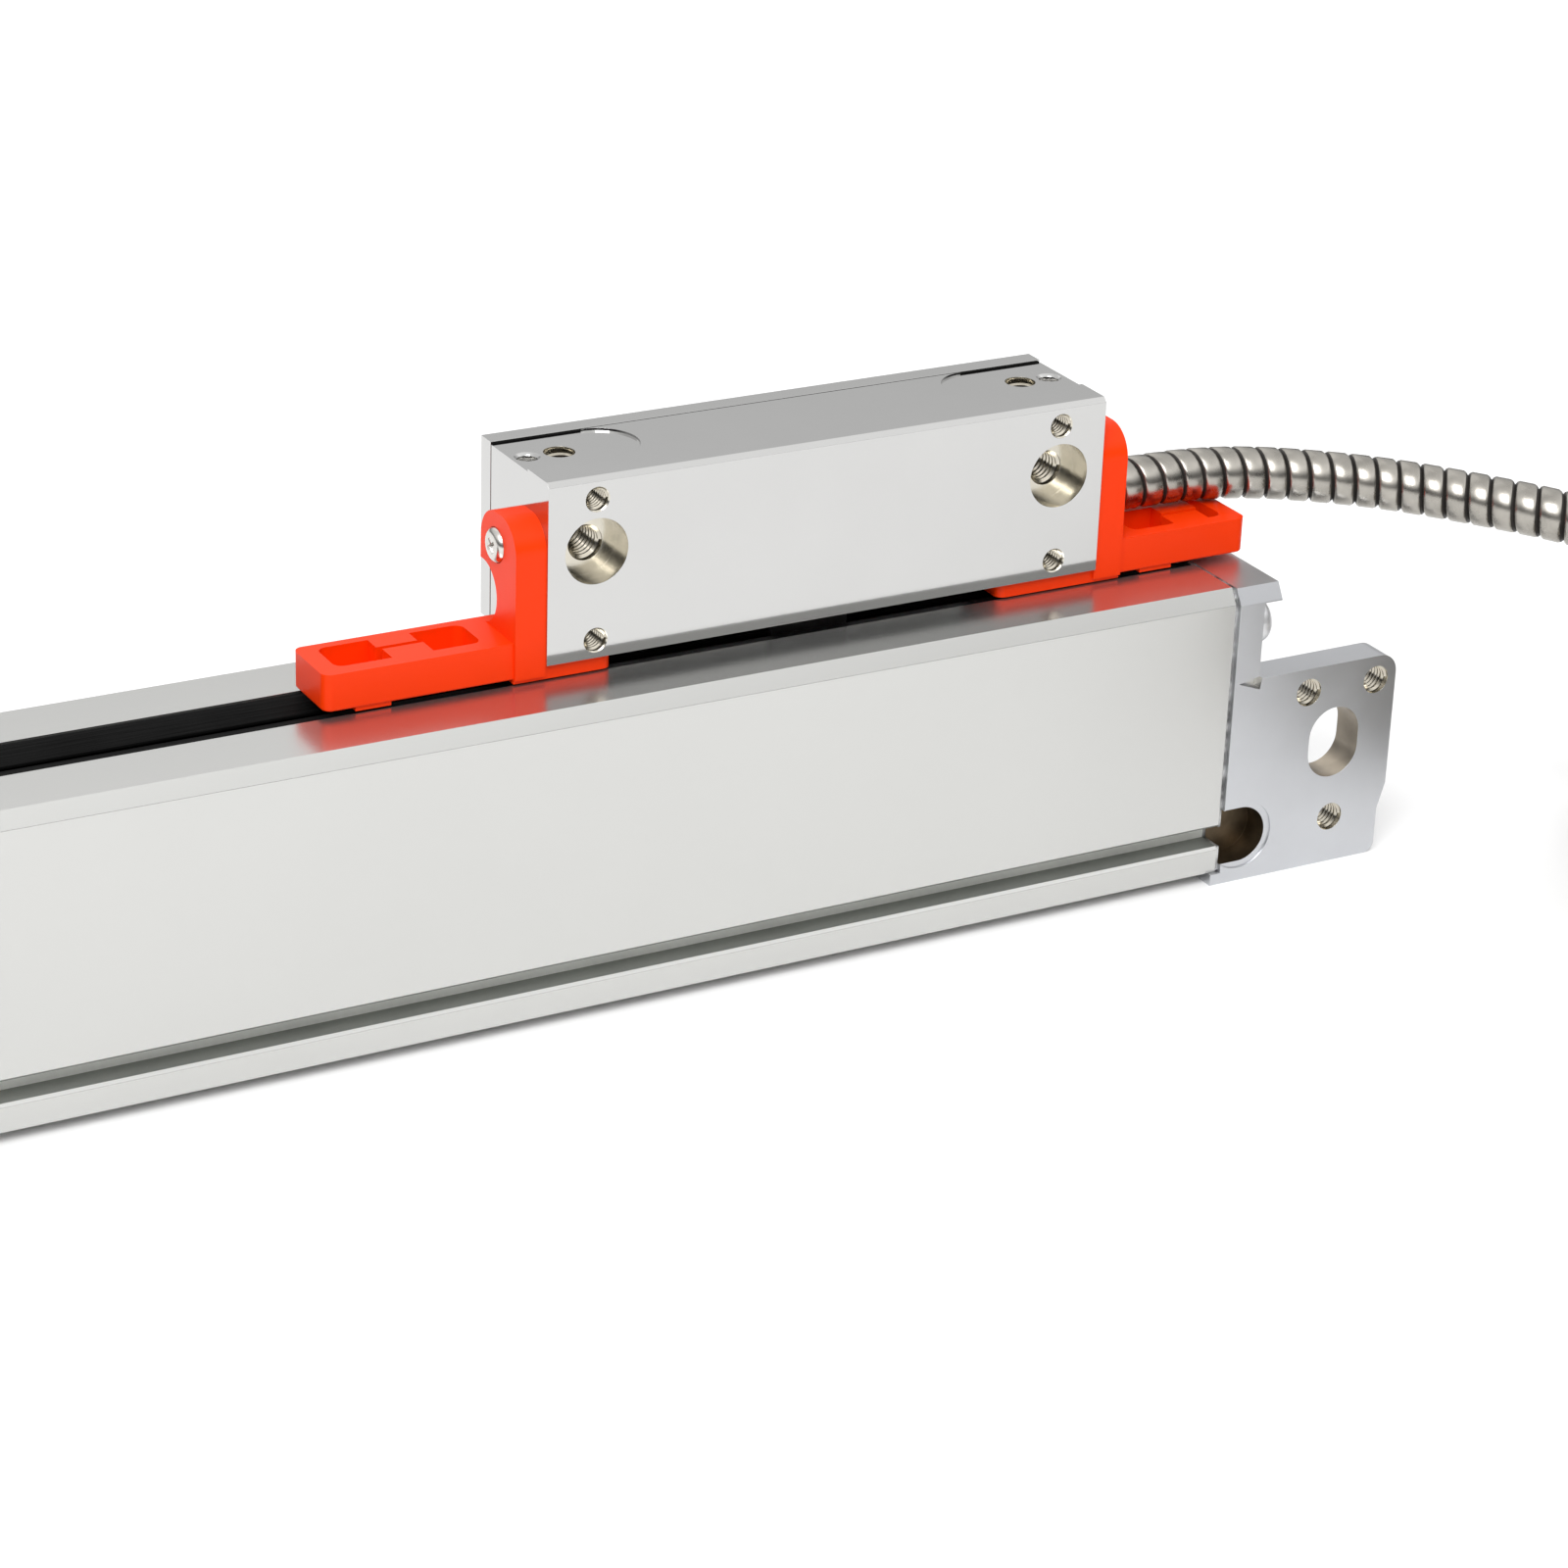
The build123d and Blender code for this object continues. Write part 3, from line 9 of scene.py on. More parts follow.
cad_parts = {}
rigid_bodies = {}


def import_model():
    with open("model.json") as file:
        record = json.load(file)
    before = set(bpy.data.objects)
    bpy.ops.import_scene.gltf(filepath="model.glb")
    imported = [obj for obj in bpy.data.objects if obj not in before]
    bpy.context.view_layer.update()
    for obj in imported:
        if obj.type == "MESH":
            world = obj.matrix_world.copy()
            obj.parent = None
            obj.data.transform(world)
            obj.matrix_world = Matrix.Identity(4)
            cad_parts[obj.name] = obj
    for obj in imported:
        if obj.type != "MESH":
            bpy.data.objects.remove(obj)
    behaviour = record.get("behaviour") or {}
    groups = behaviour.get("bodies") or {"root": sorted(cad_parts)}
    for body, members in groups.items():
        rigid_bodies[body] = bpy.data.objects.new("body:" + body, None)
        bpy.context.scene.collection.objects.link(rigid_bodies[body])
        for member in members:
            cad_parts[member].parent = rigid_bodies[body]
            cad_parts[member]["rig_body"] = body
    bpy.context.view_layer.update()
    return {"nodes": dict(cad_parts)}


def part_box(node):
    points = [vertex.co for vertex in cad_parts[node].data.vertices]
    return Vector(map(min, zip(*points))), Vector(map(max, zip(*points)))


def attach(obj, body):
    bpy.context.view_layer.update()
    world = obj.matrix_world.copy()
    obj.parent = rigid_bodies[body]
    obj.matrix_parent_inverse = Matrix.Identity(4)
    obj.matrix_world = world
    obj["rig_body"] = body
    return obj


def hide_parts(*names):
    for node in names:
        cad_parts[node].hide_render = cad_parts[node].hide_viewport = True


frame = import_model()

bl_info = {
    "name": "Linear Glass Scale",
    "version": (1, 0, 0),
    "blender": (4, 5, 0),
    "location": "3D View > Sidebar > Glass Scale",
    "description": "Dresses a sealed linear glass scale: castings, guards, seal, hose and connector",
    "category": "Object",
}

MM = 0.001


# Settings

class StageSettings(bpy.types.PropertyGroup):
    """Camera, floor and studio light."""

    lens: FloatProperty(
        name="Lens", description="Focal length of the camera", default=100.73, unit="CAMERA"
    )
    floor_size: FloatProperty(
        name="Floor Size", description="Side of the square floor", default=14.0, unit="LENGTH"
    )
    floor_colour: FloatVectorProperty(
        name="Floor Colour", description="Colour of the pale floor", default=(0.92, 0.92, 0.92),
        subtype="COLOR", size=3, min=0.0, max=1.0,
    )
    key_power: FloatProperty(
        name="Key Power", description="Power of the large light over the front", default=23.0,
        unit="POWER",
    )
    front_sky: FloatVectorProperty(
        name="Front Sky", description="Grey of the sky in front, from the horizon up", size=6,
        default=(0.02, 0.03, 0.60, 1.85, 1.40, 1.30), min=0.0,
    )
    back_sky: FloatVectorProperty(
        name="Back Sky", description="Grey of the sky behind, from the horizon up", size=6,
        default=(0.15, 0.50, 0.97, 1.0, 1.05, 1.05), min=0.0,
    )
    sky_strength: FloatProperty(
        name="Sky Strength", description="Strength of the soft light all round", default=0.84
    )


class HeadSettings(bpy.types.PropertyGroup):
    """Reading head and its screws."""

    edge: FloatProperty(
        name="Edge Radius", description="Rounding of the casting's edges", default=0.32 * MM,
        unit="LENGTH",
    )
    chrome: FloatVectorProperty(
        name="Chrome", description="Colour of the bright plating", default=(0.585, 0.583, 0.575),
        subtype="COLOR", size=3, min=0.0, max=1.0,
    )
    bore: FloatVectorProperty(
        name="Bore", description="Colour of the plating inside the bores", default=(0.66, 0.625, 0.54),
        subtype="COLOR", size=3, min=0.0, max=1.0,
    )


class ScaleSettings(bpy.types.PropertyGroup):
    """Extrusion, sealing lips, end caps and what is inside."""

    edge: FloatProperty(
        name="Edge Radius", description="Rounding of the extrusion's edges", default=0.25 * MM,
        unit="LENGTH",
    )
    anodised: FloatVectorProperty(
        name="Anodised", description="Colour of the anodised aluminium", default=(0.603, 0.603, 0.587),
        subtype="COLOR", size=3, min=0.0, max=1.0,
    )
    seal: FloatVectorProperty(
        name="Seal", description="Colour of the sealing lips", default=(0.006, 0.006, 0.006),
        subtype="COLOR", size=3, min=0.0, max=1.0,
    )
    cap_edge: FloatProperty(
        name="Cap Edge Radius", description="Rounding of the end caps' edges", default=0.3 * MM,
        unit="LENGTH",
    )
    plated: FloatVectorProperty(
        name="Plated", description="Colour of the plated end caps", default=(0.620, 0.630, 0.652),
        subtype="COLOR", size=3, min=0.0, max=1.0,
    )


class GuardSettings(bpy.types.PropertyGroup):
    """Moulded guards at the head's ends."""

    edge: FloatProperty(
        name="Edge Radius", description="Rounding of the moulded edges", default=0.7 * MM, unit="LENGTH"
    )
    colour: FloatVectorProperty(
        name="Colour", description="Colour of the moulding", default=(0.90, 0.042, 0.001),
        subtype="COLOR", size=3, min=0.0, max=1.0,
    )


class HoseSettings(bpy.types.PropertyGroup):
    """Armoured hose, its hank and its connector."""

    radius: FloatProperty(
        name="Radius", description="Outer radius of the hose", default=4.5 * MM, unit="LENGTH"
    )
    pitch: FloatProperty(
        name="Pitch", description="Advance of the wound strip in one turn", default=4.1 * MM, unit="LENGTH"
    )
    groove: FloatProperty(
        name="Groove Depth", description="Depth between two windings", default=0.75 * MM, unit="LENGTH"
    )
    sides: IntProperty(
        name="Sides", description="Points round the hose", default=22, min=8
    )
    steel: FloatVectorProperty(
        name="Steel", description="Colour of the wound strip", default=(0.46, 0.437, 0.395),
        subtype="COLOR", size=3, min=0.0, max=1.0,
    )


# Shader groups

def group_sockets(name, inputs, outputs):
    """A new shader group with its sockets, its nodes ready to link."""
    group = bpy.data.node_groups.new(name, "ShaderNodeTree")
    for label, kind, value in inputs:
        socket = group.interface.new_socket(label, in_out="INPUT", socket_type=kind)
        socket.default_value = value
    for label, kind in outputs:
        group.interface.new_socket(label, in_out="OUTPUT", socket_type=kind)
    return group, group.nodes.new("NodeGroupInput"), group.nodes.new("NodeGroupOutput")


def grain_group():
    """Stretched fine noise with a bump, for drawn, cast and moulded skins."""
    group, start, end = group_sockets(
        "Skin Grain",
        [
            ("Stretch", "NodeSocketVector", (1.0, 1.0, 1.0)),
            ("Scale", "NodeSocketFloat", 1000.0),
            ("Bump", "NodeSocketFloat", 0.1),
            ("Depth", "NodeSocketFloat", 0.0001),
        ],
        [("Value", "NodeSocketFloat"), ("Normal", "NodeSocketVector")],
    )
    nodes, links = group.nodes, group.links
    coords = nodes.new("ShaderNodeTexCoord")
    stretch = nodes.new("ShaderNodeVectorMath")
    stretch.operation = "MULTIPLY"
    noise = nodes.new("ShaderNodeTexNoise")
    noise.inputs["Detail"].default_value = 4.0
    bump = nodes.new("ShaderNodeBump")
    links.new(coords.outputs["Object"], stretch.inputs[0])
    links.new(start.outputs["Stretch"], stretch.inputs[1])
    links.new(stretch.outputs[0], noise.inputs["Vector"])
    links.new(start.outputs["Scale"], noise.inputs["Scale"])
    links.new(noise.outputs["Fac"], bump.inputs["Height"])
    links.new(start.outputs["Bump"], bump.inputs["Strength"])
    links.new(start.outputs["Depth"], bump.inputs["Distance"])
    links.new(noise.outputs["Fac"], end.inputs["Value"])
    links.new(bump.outputs["Normal"], end.inputs["Normal"])
    return group


def mottle_group():
    """Broad uneven patches that vary a colour and a roughness a little."""
    group, start, end = group_sockets(
        "Mottle",
        [
            ("Colour", "NodeSocketColor", (0.8, 0.8, 0.8, 1.0)),
            ("Dark", "NodeSocketFloat", 0.9),
            ("Roughness", "NodeSocketFloat", 0.2),
            ("Spread", "NodeSocketFloat", 0.05),
            ("Scale", "NodeSocketFloat", 60.0),
        ],
        [("Colour", "NodeSocketColor"), ("Roughness", "NodeSocketFloat")],
    )
    nodes, links = group.nodes, group.links
    coords = nodes.new("ShaderNodeTexCoord")
    noise = nodes.new("ShaderNodeTexNoise")
    noise.inputs["Detail"].default_value = 5.0
    shade = nodes.new("ShaderNodeMapRange")
    shade.inputs["From Min"].default_value = 0.3
    shade.inputs["From Max"].default_value = 0.7
    shade.inputs["To Max"].default_value = 1.0
    tint = nodes.new("ShaderNodeVectorMath")
    tint.operation = "SCALE"
    rough = nodes.new("ShaderNodeMath")
    rough.operation = "MULTIPLY_ADD"
    links.new(coords.outputs["Object"], noise.inputs["Vector"])
    links.new(start.outputs["Scale"], noise.inputs["Scale"])
    links.new(noise.outputs["Fac"], shade.inputs["Value"])
    links.new(start.outputs["Dark"], shade.inputs["To Min"])
    links.new(start.outputs["Colour"], tint.inputs[0])
    links.new(shade.outputs["Result"], tint.inputs["Scale"])
    links.new(noise.outputs["Fac"], rough.inputs[0])
    links.new(start.outputs["Spread"], rough.inputs[1])
    links.new(start.outputs["Roughness"], rough.inputs[2])
    links.new(tint.outputs[0], end.inputs["Colour"])
    links.new(rough.outputs[0], end.inputs["Roughness"])
    return group


SKIN = grain_group()
MOTTLE = mottle_group()
FINISHES = {}


def finish(name, colour, metallic, rough, spread=0.05, dark=0.92, patch=60.0, grain=1500.0,
           stretch=(1.0, 1.0, 1.0), bump=0.1, depth=0.05 * MM, specular=0.5):
    """A finish made once: mottled colour and roughness over a fine skin grain.

    Spread is how far the roughness varies, dark the shade of the darkest patch, and patch and grain
    are the scales of the two patterns.
    """
    if name in FINISHES:
        return FINISHES[name]
    material = bpy.data.materials.new(name)
    material.use_nodes = True
    nodes, links = material.node_tree.nodes, material.node_tree.links
    shader = nodes["Principled BSDF"]
    mottle = nodes.new("ShaderNodeGroup")
    mottle.node_tree = MOTTLE
    mottle.inputs["Colour"].default_value = (*colour, 1.0)
    mottle.inputs["Dark"].default_value = dark
    mottle.inputs["Roughness"].default_value = rough
    mottle.inputs["Spread"].default_value = spread
    mottle.inputs["Scale"].default_value = patch
    skin = nodes.new("ShaderNodeGroup")
    skin.node_tree = SKIN
    skin.inputs["Stretch"].default_value = stretch
    skin.inputs["Scale"].default_value = grain
    skin.inputs["Bump"].default_value = bump
    skin.inputs["Depth"].default_value = depth
    links.new(mottle.outputs["Colour"], shader.inputs["Base Color"])
    links.new(mottle.outputs["Roughness"], shader.inputs["Roughness"])
    links.new(skin.outputs["Normal"], shader.inputs["Normal"])
    shader.inputs["Metallic"].default_value = metallic
    shader.inputs["Specular IOR Level"].default_value = specular
    FINISHES[name] = material
    return material


def glass_finish():
    """Clear float glass."""
    material = finish("clear_glass", (0.90, 0.96, 0.94), 0.0, 0.02, spread=0.0, dark=1.0, bump=0.0)
    shader = material.node_tree.nodes["Principled BSDF"]
    shader.inputs["Transmission Weight"].default_value = 0.9
    shader.inputs["IOR"].default_value = 1.5
    return material


def finishes():
    """Every finish of the part, by a plain name."""
    settings = bpy.context.scene
    head, scale = settings.glass_scale_head, settings.glass_scale_body
    guard, hose = settings.glass_scale_guard, settings.glass_scale_hose
    return {
        "chrome": finish("chrome", head.chrome, 1.0, 0.05, 0.05, 0.97, 40.0, 260.0,
                         bump=0.12, depth=0.03 * MM),
        "bore": finish("bore_plating", head.bore, 1.0, 0.14, 0.10, 0.88, 500.0, 2500.0, bump=0.1),
        # Plating of the threads, darker than the bore's: partly the plating, partly painted shade of the
        # deep holes
        "thread": finish("thread_plating_painted_shade", (0.56, 0.52, 0.44), 1.0, 0.14, 0.05, 0.9, 500.0, 2500.0,
                         bump=0.1),
        "slot": finish("slot_wall", (0.46, 0.40, 0.32), 1.0, 0.25, 0.15, 0.8, 300.0, 1500.0, bump=0.2),
        "notch": finish("notch_wall", (0.17, 0.13, 0.085), 1.0, 0.38, 0.15, 0.6, 300.0, 900.0, bump=0.4),
        "anodised": finish("anodised", scale.anodised, 0.93, 0.20, 0.06, 0.98, 30.0, 5000.0,
                           stretch=(0.12, 1.0, 1.0), bump=0.12, depth=0.02 * MM),
        "seal": finish("seal_rubber", scale.seal, 0.0, 0.30, 0.25, 0.6, 120.0, 2200.0,
                       stretch=(0.03, 1.0, 1.0), bump=0.7, depth=0.2 * MM, specular=0.03),
        "sealant": finish("joint_sealant", (0.72, 0.72, 0.71), 0.8, 0.30, 0.25, 0.05, 420.0, 1200.0,
                          bump=1.0, depth=0.3 * MM),
        # Near-black finish for the grooves between the hose's windings: painted shade
        "groove": finish("hose_groove_painted_shade", (0.06, 0.055, 0.05), 0.6, 0.40, 0.1, 0.8, 260.0, 3000.0),
        "plated": finish("plated_casting", scale.plated, 1.0, 0.30, 0.10, 0.94, 90.0, 900.0,
                         bump=0.10, depth=0.03 * MM),
        # Darker copy of the anodised aluminium for the groove's upper and lower walls: painted shade
        "channel": finish("channel_wall", (0.30, 0.31, 0.29), 0.6, 0.40, 0.10, 0.9, 60.0, 3000.0,
                          stretch=(0.12, 1.0, 1.0)),
        # Light, matt copy of the anodised aluminium for the groove's back wall: a painted light strip
        "painted_groove_light": finish("channel_back", (0.94, 0.95, 0.90), 0.0, 0.50, 0.10, 0.9, 60.0, 3000.0,
                       stretch=(0.12, 1.0, 1.0)),
        "screw": finish("screw_plating", (0.72, 0.70, 0.66), 1.0, 0.16, 0.10, 0.8, 400.0, 2500.0),
        "satin": finish("satin_zinc", (0.82, 0.82, 0.83), 0.8, 0.34, 0.10, 0.9, 400.0, 2500.0),
        "ground": finish("ground_steel", (0.55, 0.55, 0.56), 1.0, 0.25, 0.10, 0.9, 200.0, 4000.0,
                         stretch=(1.0, 1.0, 0.1)),
        "guard": finish("guard_moulding", guard.colour, 0.0, 0.30, 0.10, 0.96, 50.0, 2600.0,
                        bump=0.10, depth=0.03 * MM, specular=0.15),
        "hose": finish("hose_steel", hose.steel, 1.0, 0.20, 0.16, 0.75, 260.0, 3000.0, bump=0.15),
        "black": finish("black_moulding", (0.014, 0.014, 0.015), 0.0, 0.42, 0.12, 0.8, 80.0, 2600.0,
                        bump=0.3),
        "carriage": finish("carriage_moulding", (0.05, 0.05, 0.055), 0.0, 0.45, 0.1, 0.8, 80.0, 2600.0,
                           bump=0.3),
        "board": finish("board_green", (0.012, 0.11, 0.035), 0.0, 0.35, 0.1, 0.8, 300.0, 2600.0),
        "lamp": finish("lamp_lens", (0.80, 0.78, 0.70), 0.0, 0.12, 0.05, 0.95, 100.0, 2600.0),
        "glass": glass_finish(),
    }


# Shared modelling steps

MERGE_DISTANCE = 2e-6
OUT = (0, -1, 0)
UP = (0, 0, 1)

# A tapped hole in mm: the thread's radii and pitch, the depth down to which its wall is widened, and
# where the thread starts and how long it is
Tapped = namedtuple("Tapped", "core major pitch depth start length")
M4_HOLE = Tapped(core=1.65, major=2.0, pitch=0.7, depth=8.0, start=0.5, length=7.0)
M6_HOLE = Tapped(core=2.5, major=3.0, pitch=1.0, depth=14.0, start=0.2, length=13.0)
TOP_HOLE = Tapped(core=2.1, major=2.5, pitch=0.8, depth=8.0, start=0.5, length=7.0)
EAR_HOLE = Tapped(core=2.1, major=2.5, pitch=0.8, depth=7.0, start=0.35, length=5.6)
CREST_START, CREST_END = 0.34, 0.66     # flat crest of a thread, in pitches
THREAD_SINK = 0.02 * MM                 # a thread's outer edge stands this far in the hole's wall
WALL_PLAY = 0.06 * MM                   # a point this near to a hole's wall or end belongs to it
END_PLAY = 0.2 * MM

# Radius and height of a pan head in mm
M3_PAN = (2.9, 1.9)
M4_PAN = (4.0, 3.1)
DOME = 0.62                             # rounding of a pan head's rim, in heights
CROSS_LENGTH, CROSS_WIDTH = 1.22, 0.24  # cross recess, in radii of the head
CROSS_DEPTH = 1.1                       # size of the recess's cutter, in heights of the head
CROSS_FLOOR = 0.45                      # the recess narrows to this share
RECESS_EDGE = 0.05                      # rounding of the recess's edges, in radii of the head


def deselect():
    """Clears the selection."""
    for item in bpy.context.selected_objects:
        item.select_set(False)


def activate(piece):
    """Makes a piece the only selected one."""
    deselect()
    bpy.context.view_layer.objects.active = piece
    piece.select_set(True)


def apply_modifier(piece, kind, **values):
    """Adds one modifier with its values and applies it."""
    activate(piece)
    modifier = piece.modifiers.new(kind.title(), kind)
    for key, value in values.items():
        setattr(modifier, key, value)
    bpy.ops.object.modifier_apply(modifier=modifier.name)


def smooth(piece, degrees=32.0):
    """Smooth shading, with the edges sharper than an angle left sharp."""
    activate(piece)
    bpy.ops.object.shade_smooth_by_angle(angle=math.radians(degrees))


def place(piece, matrix=None):
    """Puts the piece's place into its mesh and leaves its object at the origin."""
    bpy.context.view_layer.update()
    piece.data.transform((matrix or Matrix.Identity(4)) @ piece.matrix_world)
    piece.matrix_world = Matrix.Identity(4)


def ready(piece, name, body, material, replaced=()):
    """Names a finished piece and gives it its body and finish."""
    piece.name = name
    piece.data.name = name
    piece.data.materials.clear()
    piece.data.materials.append(material)
    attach(piece, body)
    if replaced:
        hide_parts(*replaced)
    return piece


def cleaned_copy(node):
    """A copy of a CAD node with its doubles merged and its flat faces joined."""
    source = frame["nodes"][node]
    piece = bpy.data.objects.new(node + "_dressed", source.data.copy())
    bpy.context.scene.collection.objects.link(piece)
    activate(piece)
    bpy.ops.mesh.customdata_custom_splitnormals_clear()
    bpy.ops.object.mode_set(mode="EDIT")
    bpy.ops.mesh.select_all(action="SELECT")
    bpy.ops.mesh.remove_doubles(threshold=MERGE_DISTANCE)
    bpy.ops.mesh.dissolve_limited(angle_limit=math.radians(0.3))
    bpy.ops.object.mode_set(mode="OBJECT")
    return piece


def dressed(node, material, edge, segments=3, angle=35.0, holes=()):
    """Stands for a rigid CAD node: the same shape with rounded edges that catch the light."""
    body = frame["nodes"][node]["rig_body"]
    piece = cleaned_copy(node)
    for hole in holes:
        widen(piece, *hole)
    apply_modifier(
        piece, "BEVEL", width=edge, segments=segments, limit_method="ANGLE",
        angle_limit=math.radians(angle), use_clamp_overlap=True, harden_normals=False,
    )
    smooth(piece)
    apply_modifier(piece, "WEIGHTED_NORMAL", mode="FACE_AREA", keep_sharp=True)
    return ready(piece, node + "_dressed", body, material, (node,))


def line_bores(piece, material, bores):
    """Gives the walls of holes, slots and notches a finish of their own.

    A bore is its mouth, the direction out of it, its widest radius and the depths where its wall
    starts and ends.
    """
    piece.data.materials.append(material)
    index = len(piece.data.materials) - 1
    for face in piece.data.polygons:
        corners = [piece.data.vertices[i].co for i in face.vertices]
        for mouth, direction, radius, start, end in bores:
            axis = Vector(direction)
            depth = -(face.center - mouth).dot(axis)
            widest = max((corner - mouth).cross(axis).length for corner in corners)
            if widest < radius and start < depth < end:
                face.material_index = index


def along(point, direction):
    """Matrix that turns +Z to a direction and moves the origin to a point."""
    return Matrix.Translation(point) @ Vector(direction).to_track_quat("Z", "Y").to_matrix().to_4x4()


def widen(piece, mouth, direction, hole):
    """Moves a tapped hole's wall from the core to the major radius, so that a thread can stand in it."""
    axis = Vector(direction)
    for vertex in piece.data.vertices:
        offset = vertex.co - mouth
        height = offset.dot(axis)
        radial = offset - axis * height
        on_wall = abs(radial.length - hole.core * MM) < WALL_PLAY
        if on_wall and -hole.depth * MM - END_PLAY < height < END_PLAY:
            vertex.co = mouth + axis * height + radial.normalized() * (hole.major * MM)


def thread(name, mouth, direction, hole, body, slot):
    """Internal thread: a V profile with a flat crest, wound down the hole."""
    rim = hole.major * MM + THREAD_SINK
    core, pitch = hole.core * MM, hole.pitch * MM
    points = [(rim, 0, 0), (core, 0, -CREST_START * pitch), (core, 0, -CREST_END * pitch), (rim, 0, -pitch)]
    profile = bpy.data.meshes.new(name)
    profile.from_pydata(points, [(0, 1), (1, 2), (2, 3)], [])
    piece = bpy.data.objects.new(name, profile)
    bpy.context.scene.collection.objects.link(piece)
    apply_modifier(
        piece, "SCREW", axis="Z", angle=math.tau, screw_offset=-pitch,
        iterations=int(hole.length * MM / pitch), steps=28, render_steps=28,
        use_merge_vertices=True, merge_threshold=1e-6, use_normal_flip=False,
    )
    place(piece, along(mouth - Vector(direction) * hole.start * MM, direction))
    smooth(piece, 30.0)
    # Its finish is darker than the bore plating: painted shade
    return ready(piece, name, body, finishes()["thread"])


def pan_screw(name, seat, direction, size, body, replaced, turn=20.0, coat="screw"):
    """Pan head with a cross recess, pointing out along a direction."""
    radius, height = size[0] * MM, size[1] * MM
    deselect()
    bpy.ops.mesh.primitive_cylinder_add(
        vertices=48, radius=radius, depth=height, location=(0, 0, height / 2)
    )
    piece = bpy.context.object
    place(piece)
    bpy.ops.object.mode_set(mode="EDIT")
    bpy.ops.mesh.select_all(action="DESELECT")
    bpy.ops.object.mode_set(mode="OBJECT")
    for edge in piece.data.edges:
        edge.select = all(piece.data.vertices[i].co.z > 0.9 * height for i in edge.vertices)
    bpy.ops.object.mode_set(mode="EDIT")
    bpy.ops.mesh.bevel(offset=DOME * height, segments=8, profile=0.5, affect="EDGES")
    bpy.ops.object.mode_set(mode="OBJECT")
    for quarter in range(2):
        deselect()
        bpy.ops.mesh.primitive_cube_add(size=1.0, location=(0, 0, height))
        cutter = bpy.context.object
        cutter.scale = (CROSS_LENGTH * radius, CROSS_WIDTH * radius, CROSS_DEPTH * height)
        cutter.rotation_euler = (0, 0, quarter * math.pi / 2 + math.radians(turn))
        place(cutter)
        for vertex in cutter.data.vertices:
            if vertex.co.z < height:
                vertex.co.x *= CROSS_FLOOR
                vertex.co.y *= CROSS_FLOOR
        apply_modifier(piece, "BOOLEAN", operation="DIFFERENCE", object=cutter, solver="EXACT")
        bpy.data.objects.remove(cutter)
    apply_modifier(
        piece, "BEVEL", width=RECESS_EDGE * radius, segments=2, limit_method="ANGLE",
        angle_limit=math.radians(40),
    )
    smooth(piece, 40.0)
    place(piece, along(seat, direction))
    return ready(piece, name, body, finishes()[coat], replaced)


# Camera and lights

CAMERA_AT = (-0.25615, -0.5781, 0.32397)
CAMERA_RIGHT = (0.87693, -0.47950, 0.03263)
CAMERA_UP = (0.17058, 0.37400, 0.91160)
CAMERA_BACK = (-0.44932, -0.79385, 0.40977)
KEY_AT = (-0.7, -1.0, 1.5)
KEY_SIZE = 1.2
BACK_AT = (0.2, 1.4, 1.5)
BACK_SIZE = 1.6
BACK_SHARE = 0.1      # power of the light behind, as a share of the key light's
SKY_BLEND = 0.3       # the front and back skies pass into each other over this much on each side


